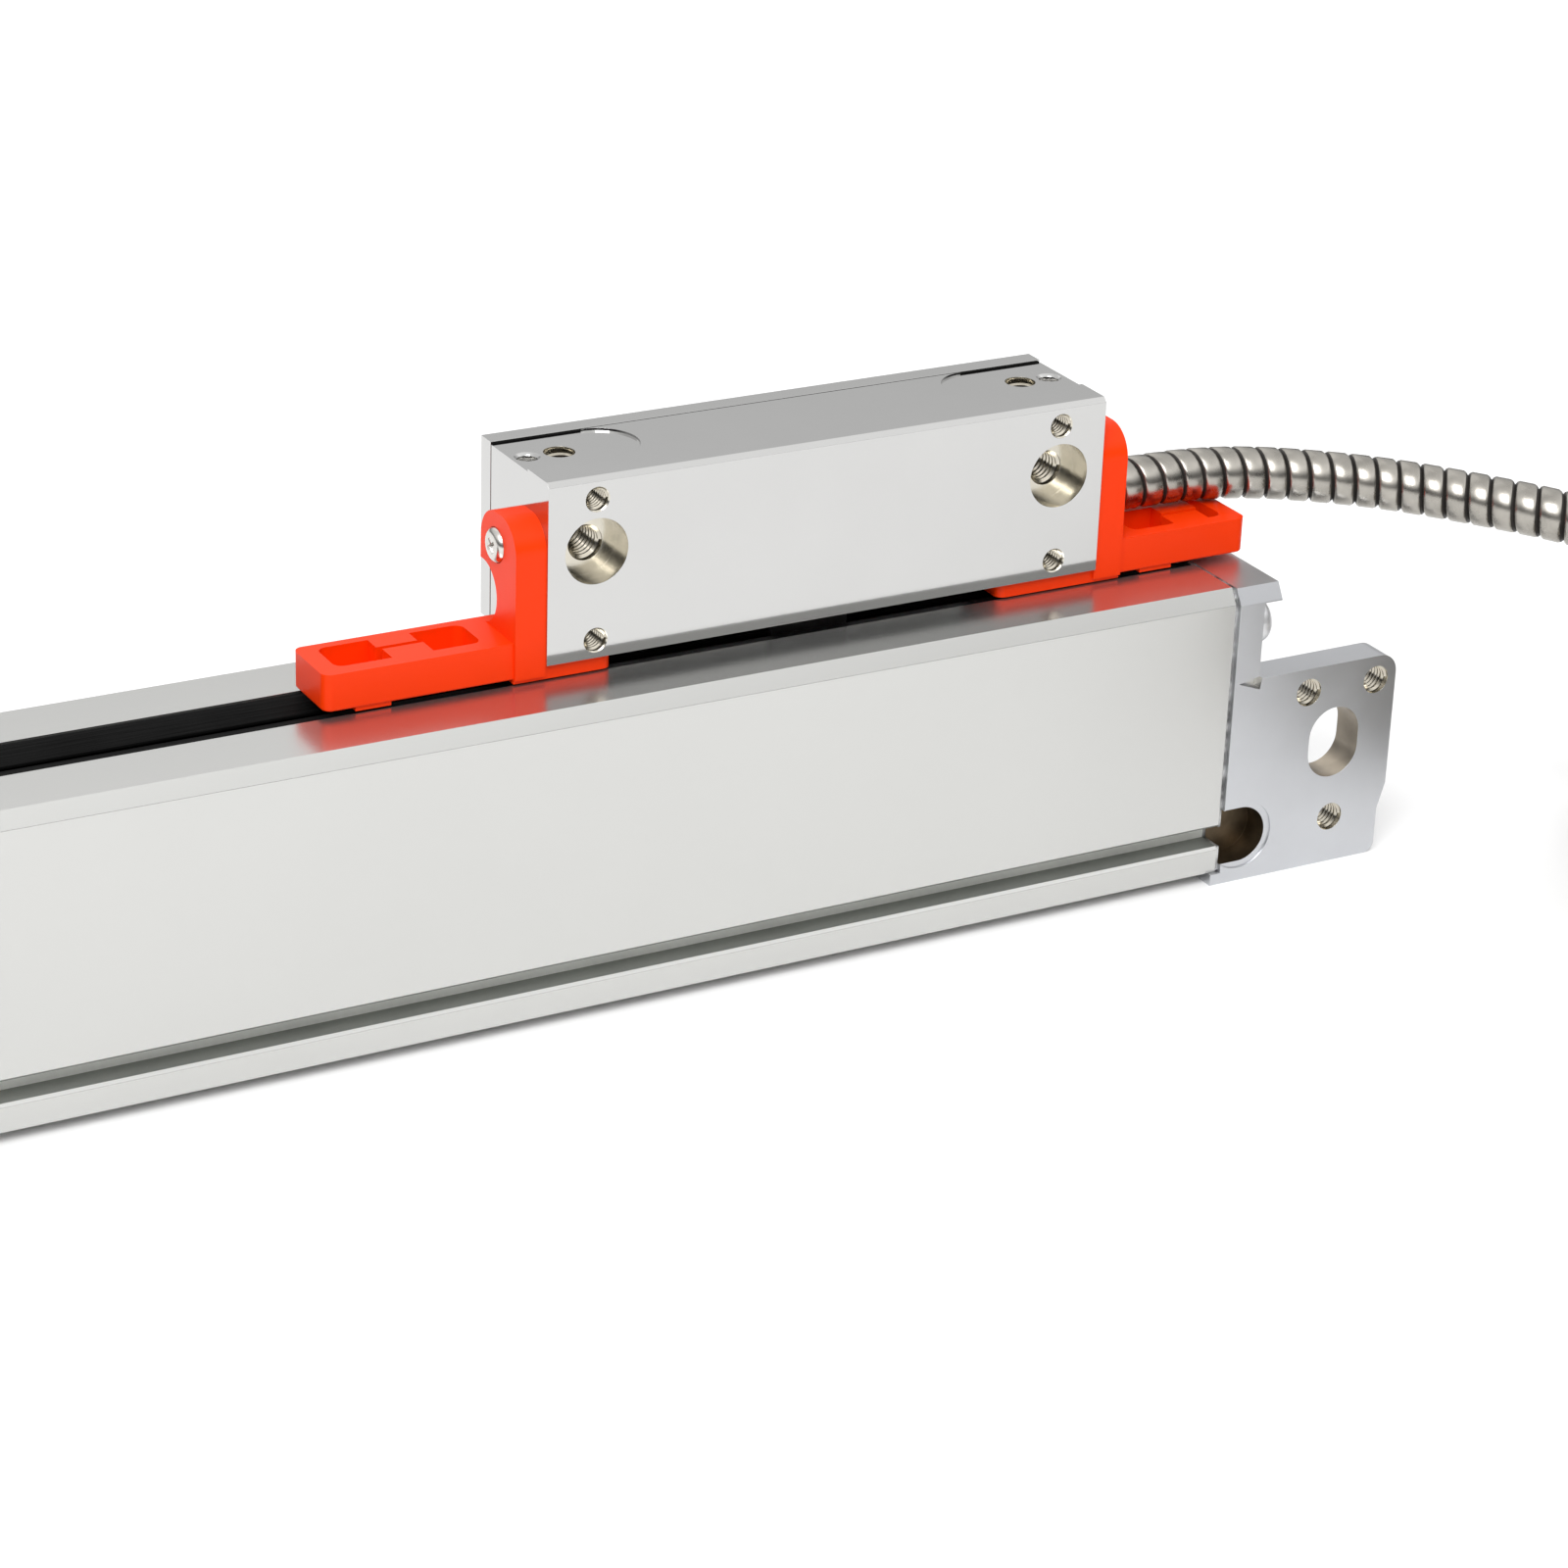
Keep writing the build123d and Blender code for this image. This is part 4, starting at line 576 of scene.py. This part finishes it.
class GLASS_SCALE_OT_stage(bpy.types.Operator):
    """Adds the camera, the pale floor and the soft studio light"""

    bl_idname = "glass_scale.stage"
    bl_label = "Stage"

    def execute(self, context):
        settings = context.scene.glass_scale_stage
        camera_data = bpy.data.cameras.new("camera")
        camera_data.lens = settings.lens
        camera_data.clip_end = 40.0
        camera = bpy.data.objects.new("camera", camera_data)
        context.scene.collection.objects.link(camera)
        turn = Matrix((CAMERA_RIGHT, CAMERA_UP, CAMERA_BACK)).transposed().to_4x4()
        camera.matrix_world = Matrix.Translation(CAMERA_AT) @ turn
        context.scene.camera = camera
        context.scene.view_settings.view_transform = "Standard"

        deselect()
        bpy.ops.mesh.primitive_plane_add(size=settings.floor_size, location=(0, 0, 0))
        floor = context.object
        floor.name = "floor"
        paint = bpy.data.materials.new("floor_paint")
        paint.use_nodes = True
        shader = paint.node_tree.nodes["Principled BSDF"]
        shader.inputs["Base Color"].default_value = (*settings.floor_colour, 1.0)
        shader.inputs["Roughness"].default_value = 0.8
        shader.inputs["Specular IOR Level"].default_value = 0.2
        floor.data.materials.append(paint)

        for name, lamp_at, size, power in (
            ("key_light", KEY_AT, KEY_SIZE, settings.key_power),
            ("back_light", BACK_AT, BACK_SIZE, settings.key_power * BACK_SHARE),
        ):
            lamp = bpy.data.lights.new(name, "AREA")
            lamp.shape = "SQUARE"
            lamp.size = size
            lamp.energy = power
            light = bpy.data.objects.new(name, lamp)
            light.location = lamp_at
            light.rotation_euler = (-Vector(lamp_at)).to_track_quat("-Z", "Y").to_euler()
            context.scene.collection.objects.link(light)

        world = bpy.data.worlds.new("studio")
        world.use_nodes = True
        nodes, links = world.node_tree.nodes, world.node_tree.links
        nodes["Background"].inputs["Strength"].default_value = settings.sky_strength
        coords = nodes.new("ShaderNodeTexCoord")
        split = nodes.new("ShaderNodeSeparateXYZ")
        links.new(coords.outputs["Generated"], split.inputs["Vector"])
        skies = []
        for greys in settings.front_sky, settings.back_sky:
            ramp = nodes.new("ShaderNodeValToRGB")
            stops = ramp.color_ramp.elements
            stops[0].color = (greys[0], greys[0], greys[0], 1)
            stops[1].color = (greys[-1], greys[-1], greys[-1], 1)
            for number, grey in enumerate(greys[1:-1], 1):
                stops.new(number / (len(greys) - 1)).color = (grey, grey, grey, 1)
            links.new(split.outputs["Z"], ramp.inputs["Fac"])
            skies.append(ramp)
        behind = nodes.new("ShaderNodeMapRange")
        behind.inputs["From Min"].default_value = -SKY_BLEND
        behind.inputs["From Max"].default_value = SKY_BLEND
        mix = nodes.new("ShaderNodeMixRGB")
        links.new(split.outputs["Y"], behind.inputs["Value"])
        links.new(behind.outputs["Result"], mix.inputs["Fac"])
        links.new(skies[0].outputs["Color"], mix.inputs["Color1"])
        links.new(skies[1].outputs["Color"], mix.inputs["Color2"])
        links.new(mix.outputs["Color"], nodes["Background"].inputs["Color"])
        context.scene.world = world
        return {"FINISHED"}


# Hose, in m: the points of its tube in the CAD, then the hank's turns and the tail
HOSE_START = (0.1180, 0.0063, 0.0666)
HOSE_ROUTE = [
    (0.1380, 0.0063, 0.0666),
    (0.1585, 0.0055, 0.0663),
    (0.1790, -0.0026, 0.0645),
    (0.1930, -0.0125, 0.0631),
    (0.2105, -0.0330, 0.0619),
    (0.2384, -0.0460, 0.0515),
    (0.2660, -0.0460, 0.0421),
    (0.2880, -0.0460, 0.0421),
]
TAIL_ROUTE = [
    (0.3000, -0.1010, 0.0421),
    (0.2830, -0.1010, 0.0421),
    (0.2660, -0.0960, 0.04505),
    (0.2490, -0.0960, 0.04505),
]
FOLD_LEFT = 0.2380
FOLD_RIGHT = 0.3060
HANK_Y = -0.0735
FOLD_R = 0.03205
STRAND_PITCH = 0.0091
LOWEST_STRAND = 0.0057
LEVELS = [LOWEST_STRAND + STRAND_PITCH * layer for layer in range(5)]
TURN_POINTS = 24
# Where in a turn the strand goes a level down or up, and over to the outer or the inner ring
FALL = (0.03, 0.15)
RISE = (0.88, 0.98)
OUTWARDS = (-0.02, 0.08)
INWARDS = (0.10, 0.28)


def hank_stations():
    """Phase, radius and height where a strand changes its place, over the whole hank."""
    inner, outer = FOLD_R - STRAND_PITCH / 2, FOLD_R + STRAND_PITCH / 2
    top = len(LEVELS) - 1
    stations = [(0.0, inner, LEVELS[top])]
    for turn in range(top):
        stations.append((turn + FALL[0], inner, LEVELS[top - turn]))
        stations.append((turn + FALL[1], inner, LEVELS[top - turn - 1]))
    stations.append((top + OUTWARDS[0], inner, LEVELS[0]))
    stations.append((top + OUTWARDS[1], outer, LEVELS[0]))
    for turn in range(top):
        stations.append((top + turn + RISE[0], outer, LEVELS[turn]))
        stations.append((top + turn + RISE[1], outer, LEVELS[turn + 1]))
    stations.append((2 * top + INWARDS[0], outer, LEVELS[top]))
    stations.append((2 * top + INWARDS[1], inner, LEVELS[top]))
    return stations


def hank_place(phase, radius, height):
    """A point of the hank: right fold, front run, left fold and back run in each turn.

    The smooth curve runs inside its points, so those of a fold stand out a little.
    """
    run = FOLD_RIGHT - FOLD_LEFT
    fold_share = 0.5 * math.pi * FOLD_R / (math.pi * FOLD_R + run)
    share = phase % 1.0
    reach = radius / math.cos(2 / TURN_POINTS)
    if share < fold_share:
        angle = math.pi / 2 - math.pi * share / fold_share
        return Vector((FOLD_RIGHT + reach * math.cos(angle), HANK_Y + reach * math.sin(angle), height))
    if share < 0.5:
        along_run = (share - fold_share) / (0.5 - fold_share)
        return Vector((FOLD_RIGHT - run * along_run, HANK_Y - radius, height))
    if share < 0.5 + fold_share:
        angle = -math.pi / 2 - math.pi * (share - 0.5) / fold_share
        return Vector((FOLD_LEFT + reach * math.cos(angle), HANK_Y + reach * math.sin(angle), height))
    along_run = (share - 0.5 - fold_share) / (0.5 - fold_share)
    return Vector((FOLD_LEFT + run * along_run, HANK_Y + radius, height))


def hank_points():
    """Control points of the hank's turns, each strand beside or on the last."""
    stations = hank_stations()
    end = stations[-1][0]
    points = []
    after = 0
    for k in range(int(end * TURN_POINTS) + 1):
        phase = k / TURN_POINTS
        while stations[after][0] < phase:
            after += 1
        a, b = stations[max(after - 1, 0)], stations[after]
        share = 0.0 if b[0] == a[0] else (phase - a[0]) / (b[0] - a[0])
        points.append(hank_place(phase, a[1] + (b[1] - a[1]) * share, a[2] + (b[2] - a[2]) * share))
    return points


def hose_spline():
    """The hose's centreline as one smooth curve."""
    curve = bpy.data.curves.new("hose_line", "CURVE")
    curve.dimensions = "3D"
    curve.resolution_u = 8
    route = [HOSE_START, *HOSE_ROUTE, *hank_points(), *TAIL_ROUTE]
    spline = curve.splines.new("NURBS")
    spline.points.add(len(route) - 1)
    for point, at in zip(spline.points, route):
        point.co = (*at, 1.0)
    spline.order_u = 3
    spline.use_endpoint_u = True
    holder = bpy.data.objects.new("hose_line", curve)
    bpy.context.scene.collection.objects.link(holder)
    bpy.context.view_layer.update()
    line = bpy.data.meshes.new_from_object(holder)
    points = [vertex.co.copy() for vertex in line.vertices]
    bpy.data.objects.remove(holder)
    return points


class CentreLine:
    """Positions and untwisted frames at distances along a chain of points."""

    def __init__(self, points):
        self.points = points
        self.runs = [b - a for a, b in zip(points, points[1:])]
        self.marks = [0.0]
        for run in self.runs:
            self.marks.append(self.marks[-1] + run.length)
        tangents = [self.runs[0].normalized()]
        for a, b in zip(self.runs, self.runs[1:]):
            tangents.append((a.normalized() + b.normalized()).normalized())
        tangents.append(self.runs[-1].normalized())
        side = Vector((0, 1, 0))
        self.frames = []
        for tangent in tangents:
            side = (side - tangent * side.dot(tangent)).normalized()
            self.frames.append((side, tangent.cross(side)))
        self.length = self.marks[-1]
        self.index = 0

    def at(self, distance):
        """Point and two side directions at a distance, which may only grow from call to call."""
        distance = min(max(distance, 0.0), self.length)
        while self.index < len(self.runs) - 1 and self.marks[self.index + 1] < distance:
            self.index += 1
        share = (distance - self.marks[self.index]) / self.runs[self.index].length
        a, b = self.frames[self.index], self.frames[self.index + 1]
        centre = self.points[self.index].lerp(self.points[self.index + 1], share)
        return centre, a[0].lerp(b[0], share), a[1].lerp(b[1], share)


def wound_hose(points, radius, pitch, groove, sides):
    """Strip-wound tube: one band wound on and on, each column of points a place across the strip.

    Returns the hose and, face by face, whether a face lies in the groove between two windings.
    """
    strip = [
        (0.0, radius - groove), (0.07, radius - 0.30 * groove), (0.16, radius), (0.78, radius),
        (0.88, radius - 0.25 * groove),
    ]
    line = CentreLine(points)
    turns = int(line.length / pitch) - 1
    rows = turns * sides
    spots = []
    for row in range(rows + 1):
        for across, reach in strip:
            distance = pitch * (row / sides + across)
            angle = math.tau * row / sides
            spots.append((distance, angle, reach))
    order = sorted(range(len(spots)), key=lambda i: spots[i][0])
    vertices = [None] * len(spots)
    for i in order:
        distance, angle, reach = spots[i]
        centre, side, up = line.at(distance)
        vertices[i] = centre + (side * math.cos(angle) + up * math.sin(angle)) * reach
    columns = len(strip)
    faces, grooves = [], []
    for row in range(rows):
        for column in range(columns):
            a, b = row * columns + column, (row + 1) * columns + column
            if column < columns - 1:
                faces.append((a, b, b + 1, a + 1))
                grooves.append(column == 0)
            elif row + 1 + sides <= rows:
                faces.append((a, b, (row + 1 + sides) * columns, (row + sides) * columns))
                grooves.append(True)
    first = [row * columns for row in range(sides + 1)]
    last = [(rows - sides + row) * columns + columns - 1 for row in range(sides + 1)]
    faces.append(first[:-1][::-1])
    faces.append(last[1:])
    mesh = bpy.data.meshes.new("hose")
    mesh.from_pydata(vertices, [], faces)
    return bpy.data.objects.new("hose", mesh), grooves + [True, True]


class GLASS_SCALE_OT_hose(bpy.types.Operator):
    """Adds the armoured hose with its hank, tie, gland and connector"""

    bl_idname = "glass_scale.hose"
    bl_label = "Hose and Connector"

    def execute(self, context):
        settings = context.scene.glass_scale_hose
        coats = finishes()
        points = hose_spline()
        hose, grooves = wound_hose(points, settings.radius, settings.pitch, settings.groove, settings.sides)
        context.scene.collection.objects.link(hose)
        activate(hose)
        bpy.ops.object.mode_set(mode="EDIT")
        bpy.ops.mesh.select_all(action="SELECT")
        bpy.ops.mesh.normals_make_consistent(inside=False)
        bpy.ops.object.mode_set(mode="OBJECT")
        smooth(hose, 40.0)
        ready(hose, "hose", "reader", coats["hose"], ("hose_tube", "hose_coil", "hose_tail"))
        # The faces in the grooves between windings get the near-black finish: painted shade
        hose.data.materials.append(coats["groove"])
        for face, in_groove in zip(hose.data.polygons, grooves):
            face.material_index = int(in_groove)

        ends = [
            dressed("coil_tie", coats["black"], 0.3 * MM),
            dressed("connector_shell_lower", coats["black"], 0.5 * MM),
            dressed("connector_shell_upper", coats["black"], 0.5 * MM),
            dressed("connector_face", coats["screw"], 0.12 * MM),
            dressed("connector_insert", coats["black"], 0.05 * MM),
            dressed("connector_jackscrews", coats["screw"], 0.15 * MM),
            dressed("connector_hood_screws", coats["screw"], 0.1 * MM),
        ]
        dressed("hose_gland", coats["bore"], 0.2 * MM)
        return {"FINISHED"}


# Groove along the extrusion's front, with painted shade on its walls and a painted light strip at its back
EXTRUSION_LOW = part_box("housing_extrusion")[0]
GROOVE_Z = EXTRUSION_LOW.z + 6.55 * MM
GROOVE_HALF = 2.4 * MM
GROOVE_BACK = EXTRUSION_LOW.y + 4.0 * MM
GROOVE_END = EXTRUSION_LOW.y + 4.9 * MM
LEVEL_UP = 0.9        # least normal.z of the groove's lower wall
LEVEL_DOWN = -0.3     # greatest normal.z of its upper wall and lip


class GLASS_SCALE_OT_body(bpy.types.Operator):
    """Dresses the extrusion and its sealing lips"""

    bl_idname = "glass_scale.body"
    bl_label = "Extrusion and Seal"

    def execute(self, context):
        settings = context.scene.glass_scale_body
        coats = finishes()
        body = dressed("housing_extrusion", coats["anodised"], settings.edge, angle=17.0)
        # The groove's upper and lower walls get a darker finish: painted shade
        body.data.materials.append(coats["channel"])
        # The groove's back wall gets a lighter, matt finish: a painted light strip
        body.data.materials.append(coats["painted_groove_light"])
        wall, back = 1, 2
        for face in body.data.polygons:
            inside = face.center.y < GROOVE_END and abs(face.center.z - GROOVE_Z) < GROOVE_HALF
            if inside and (face.normal.z > LEVEL_UP or face.normal.z < LEVEL_DOWN):
                face.material_index = wall
            elif inside and face.center.y > GROOVE_BACK:
                face.material_index = back
        for node in ("lip_seal_front", "lip_seal_back"):
            dressed(node, coats["seal"], 0.12 * MM, segments=2)
        return {"FINISHED"}


# End caps, in mm: x from the scale's middle, y and z in the frame, with the left cap mirrored
EAR_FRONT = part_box("end_cap_right")[0].y
EAR_HOLES = ((163.1, 33.2), (177.1, 33.2), (169.8, 8.6))
EAR_HOLE_LINING = 2.9
# Finish of each opening's wall, its x and z, its widest radius and the depth where it starts
CAP_OPENINGS = (
    ("slot", 169.2, 22.9, 7.4, 0.2),
    ("bore", 152.6, 37.2, 2.4, 0.2),
    ("notch", 151.1, 9.9, 7.5, 0.45),
)
OPENING_END = 5.9
CAP_END = 152.4
# Screws' y and z, on the cap's end
CAP_SCREWS = ((-14.1, 46.6), (14.1, 46.6), (14.1, 8.0))


class GLASS_SCALE_OT_caps(bpy.types.Operator):
    """Dresses the end caps and adds their threads and screws"""

    bl_idname = "glass_scale.caps"
    bl_label = "End Caps"

    def execute(self, context):
        settings = context.scene.glass_scale_body
        coats = finishes()
        for side, word in ((1, "right"), (-1, "left")):
            mouths = [Vector((side * x * MM, EAR_FRONT, z * MM)) for x, z in EAR_HOLES]
            cap = dressed(
                f"end_cap_{word}", coats["plated"], settings.cap_edge, angle=17.0,
                holes=[(mouth, OUT, EAR_HOLE) for mouth in mouths],
            )
            lining = (EAR_HOLE_LINING * MM, 0.0, EAR_HOLE.depth * MM)
            line_bores(cap, coats["bore"], [(mouth, OUT, *lining) for mouth in mouths])
            for coat, x, z, reach, start in CAP_OPENINGS:
                mouth = Vector((side * x * MM, EAR_FRONT, z * MM))
                line_bores(cap, coats[coat], [(mouth, OUT, reach * MM, start * MM, OPENING_END * MM)])
            for number, mouth in enumerate(mouths, 1):
                thread(f"ear_thread_{word}_{number}", mouth, OUT, EAR_HOLE, "scale", "plated_casting")
            for number, (y, z) in enumerate(CAP_SCREWS, 1):
                seat = Vector((side * CAP_END * MM, y * MM, z * MM))
                pan_screw(f"cap_screw_{word}_{number}", seat, (side, 0, 0), M4_PAN, "scale",
                          (f"end_cap_screws_{word}",), coat="satin")
        return {"FINISHED"}


# Reading head, in mm: x from its middle, y from its front and drops from its top
HEAD_LOW, HEAD_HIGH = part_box("head_block")
HEAD_X = (HEAD_LOW.x + HEAD_HIGH.x) / 2
FRONT_HOLE_X = 42.5
M6_DROP = 12.4
COUNTERBORE_DEPTH = 4.3
# Lining of a counterbore: widest radius, start and end
COUNTERBORE_LINING = (5.7, 0.3, 4.6)
M4_DROPS = (("upper", 3.75), ("lower", 27.4))
TOP_HOLE_X = 42.6
TOP_HOLE_Y = 13.6
RECESS_DROP = 0.4
HOLE_LINING = 0.3     # a tapped hole's lining reaches this far past its major radius
# Guard screws, in mm: x from the head's middle, y and z in the frame
GUARD_SCREW_X = 55.3
GUARD_SCREW_Y = 1.6
GUARD_SCREW_Z = 75.7


class GLASS_SCALE_OT_head(bpy.types.Operator):
    """Dresses the reading head and adds its threads and screws"""

    bl_idname = "glass_scale.head"
    bl_label = "Reading Head"

    def execute(self, context):
        settings = context.scene.glass_scale_head
        coats = finishes()
        front, top = HEAD_LOW.y, HEAD_HIGH.z
        holes, names, bores = [], [], []
        for side, word in ((-1, "left"), (1, "right")):
            x = HEAD_X + side * FRONT_HOLE_X * MM
            holes.append((Vector((x, front + COUNTERBORE_DEPTH * MM, top - M6_DROP * MM)), OUT, M6_HOLE))
            names.append(f"head_thread_m6_{word}")
            for row, drop in M4_DROPS:
                holes.append((Vector((x, front, top - drop * MM)), OUT, M4_HOLE))
                names.append(f"head_thread_m4_{word}_{row}")
            x_above = HEAD_X + side * TOP_HOLE_X * MM
            above = Vector((x_above, front + TOP_HOLE_Y * MM, top - RECESS_DROP * MM))
            holes.append((above, UP, TOP_HOLE))
            names.append(f"head_thread_top_{word}")
            lining = [size * MM for size in COUNTERBORE_LINING]
            bores.append((Vector((x, front, top - M6_DROP * MM)), OUT, *lining))
        block = dressed("head_block", coats["chrome"], settings.edge, holes=holes)
        for mouth, direction, hole in holes:
            bores.append((mouth, direction, (hole.major + HOLE_LINING) * MM, 0.0, hole.depth * MM))
        line_bores(block, coats["bore"], bores)
        dressed("head_back_plate", coats["chrome"], settings.edge)
        dressed("head_gasket", coats["seal"], 0.05 * MM, segments=1)
        dressed("head_set_screws", coats["screw"], 0.08 * MM, segments=1)
        dressed("back_plate_screws", coats["screw"], 0.08 * MM, segments=1)
        for name, hole in zip(names, holes):
            thread(name, *hole, "reader", "chrome")
        return {"FINISHED"}


class GLASS_SCALE_OT_guards(bpy.types.Operator):
    """Dresses the two moulded guards and adds their screws"""

    bl_idname = "glass_scale.guards"
    bl_label = "Guards"

    def execute(self, context):
        settings = context.scene.glass_scale_guard
        coats = finishes()
        for node in ("guard_left", "guard_right"):
            dressed(node, coats["guard"], settings.edge, segments=4)
        for side, word in ((-1, "left"), (1, "right")):
            seat = Vector((HEAD_X + side * GUARD_SCREW_X * MM, GUARD_SCREW_Y * MM, GUARD_SCREW_Z * MM))
            pan_screw(f"guard_screw_{word}", seat, (side, 0, 0), M3_PAN, "reader", ("guard_screws",),
                      turn=35.0)
        return {"FINISHED"}


class GLASS_SCALE_OT_inside(bpy.types.Operator):
    """Gives the pieces inside the housing their finishes"""

    bl_idname = "glass_scale.inside"
    bl_label = "Inside Pieces"

    def execute(self, context):
        coats = finishes()
        inside = {
            "glass": ("glass_scale", "scanning_reticle"),
            "seal": ("glass_cushion_cord",),
            "sealant": ("end_gasket_left", "end_gasket_right"),
            "carriage": ("carriage_body",),
            "board": ("photocell_board", "head_circuit_board"),
            "lamp": ("light_source",),
            "screw": ("guide_arm_screws", "board_screws", "board_standoffs"),
            "ground": (
                "guide_arm", "coupling_spring", "coupling_ball", "roller_pins", "face_roller_left",
                "face_roller_right", "face_roller_lower", "edge_roller_left", "edge_roller_right",
            ),
        }
        for coat, nodes in inside.items():
            for node in nodes:
                mesh = frame["nodes"][node].data
                mesh.materials.clear()
                mesh.materials.append(coats[coat])
        return {"FINISHED"}


OPERATORS = (
    GLASS_SCALE_OT_stage, GLASS_SCALE_OT_hose, GLASS_SCALE_OT_body, GLASS_SCALE_OT_caps,
    GLASS_SCALE_OT_head, GLASS_SCALE_OT_guards, GLASS_SCALE_OT_inside,
)


class GLASS_SCALE_PT_panel(bpy.types.Panel):
    """Settings and steps of the glass scale"""

    bl_idname = "GLASS_SCALE_PT_panel"
    bl_label = "Glass Scale"
    bl_space_type = "VIEW_3D"
    bl_region_type = "UI"
    bl_category = "Glass Scale"

    def draw(self, context):
        for pointer in SETTINGS:
            group = getattr(context.scene, pointer)
            box = self.layout.box()
            for key in group.__annotations__:
                box.prop(group, key)
        for operator in OPERATORS:
            self.layout.operator(operator.bl_idname)


SETTINGS = {
    "glass_scale_stage": StageSettings,
    "glass_scale_head": HeadSettings,
    "glass_scale_body": ScaleSettings,
    "glass_scale_guard": GuardSettings,
    "glass_scale_hose": HoseSettings,
}
CLASSES = (*SETTINGS.values(), *OPERATORS, GLASS_SCALE_PT_panel)


def register():
    for cls in CLASSES:
        bpy.utils.register_class(cls)
    for pointer, group in SETTINGS.items():
        setattr(bpy.types.Scene, pointer, PointerProperty(type=group))


def unregister():
    for pointer in SETTINGS:
        delattr(bpy.types.Scene, pointer)
    for cls in reversed(CLASSES):
        bpy.utils.unregister_class(cls)


def main():
    """Registers the add-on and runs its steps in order."""
    register()
    for step in ("stage", "hose", "body", "caps", "head", "guards", "inside"):
        getattr(bpy.ops.glass_scale, step)()


if __name__ == "__main__":
    main()
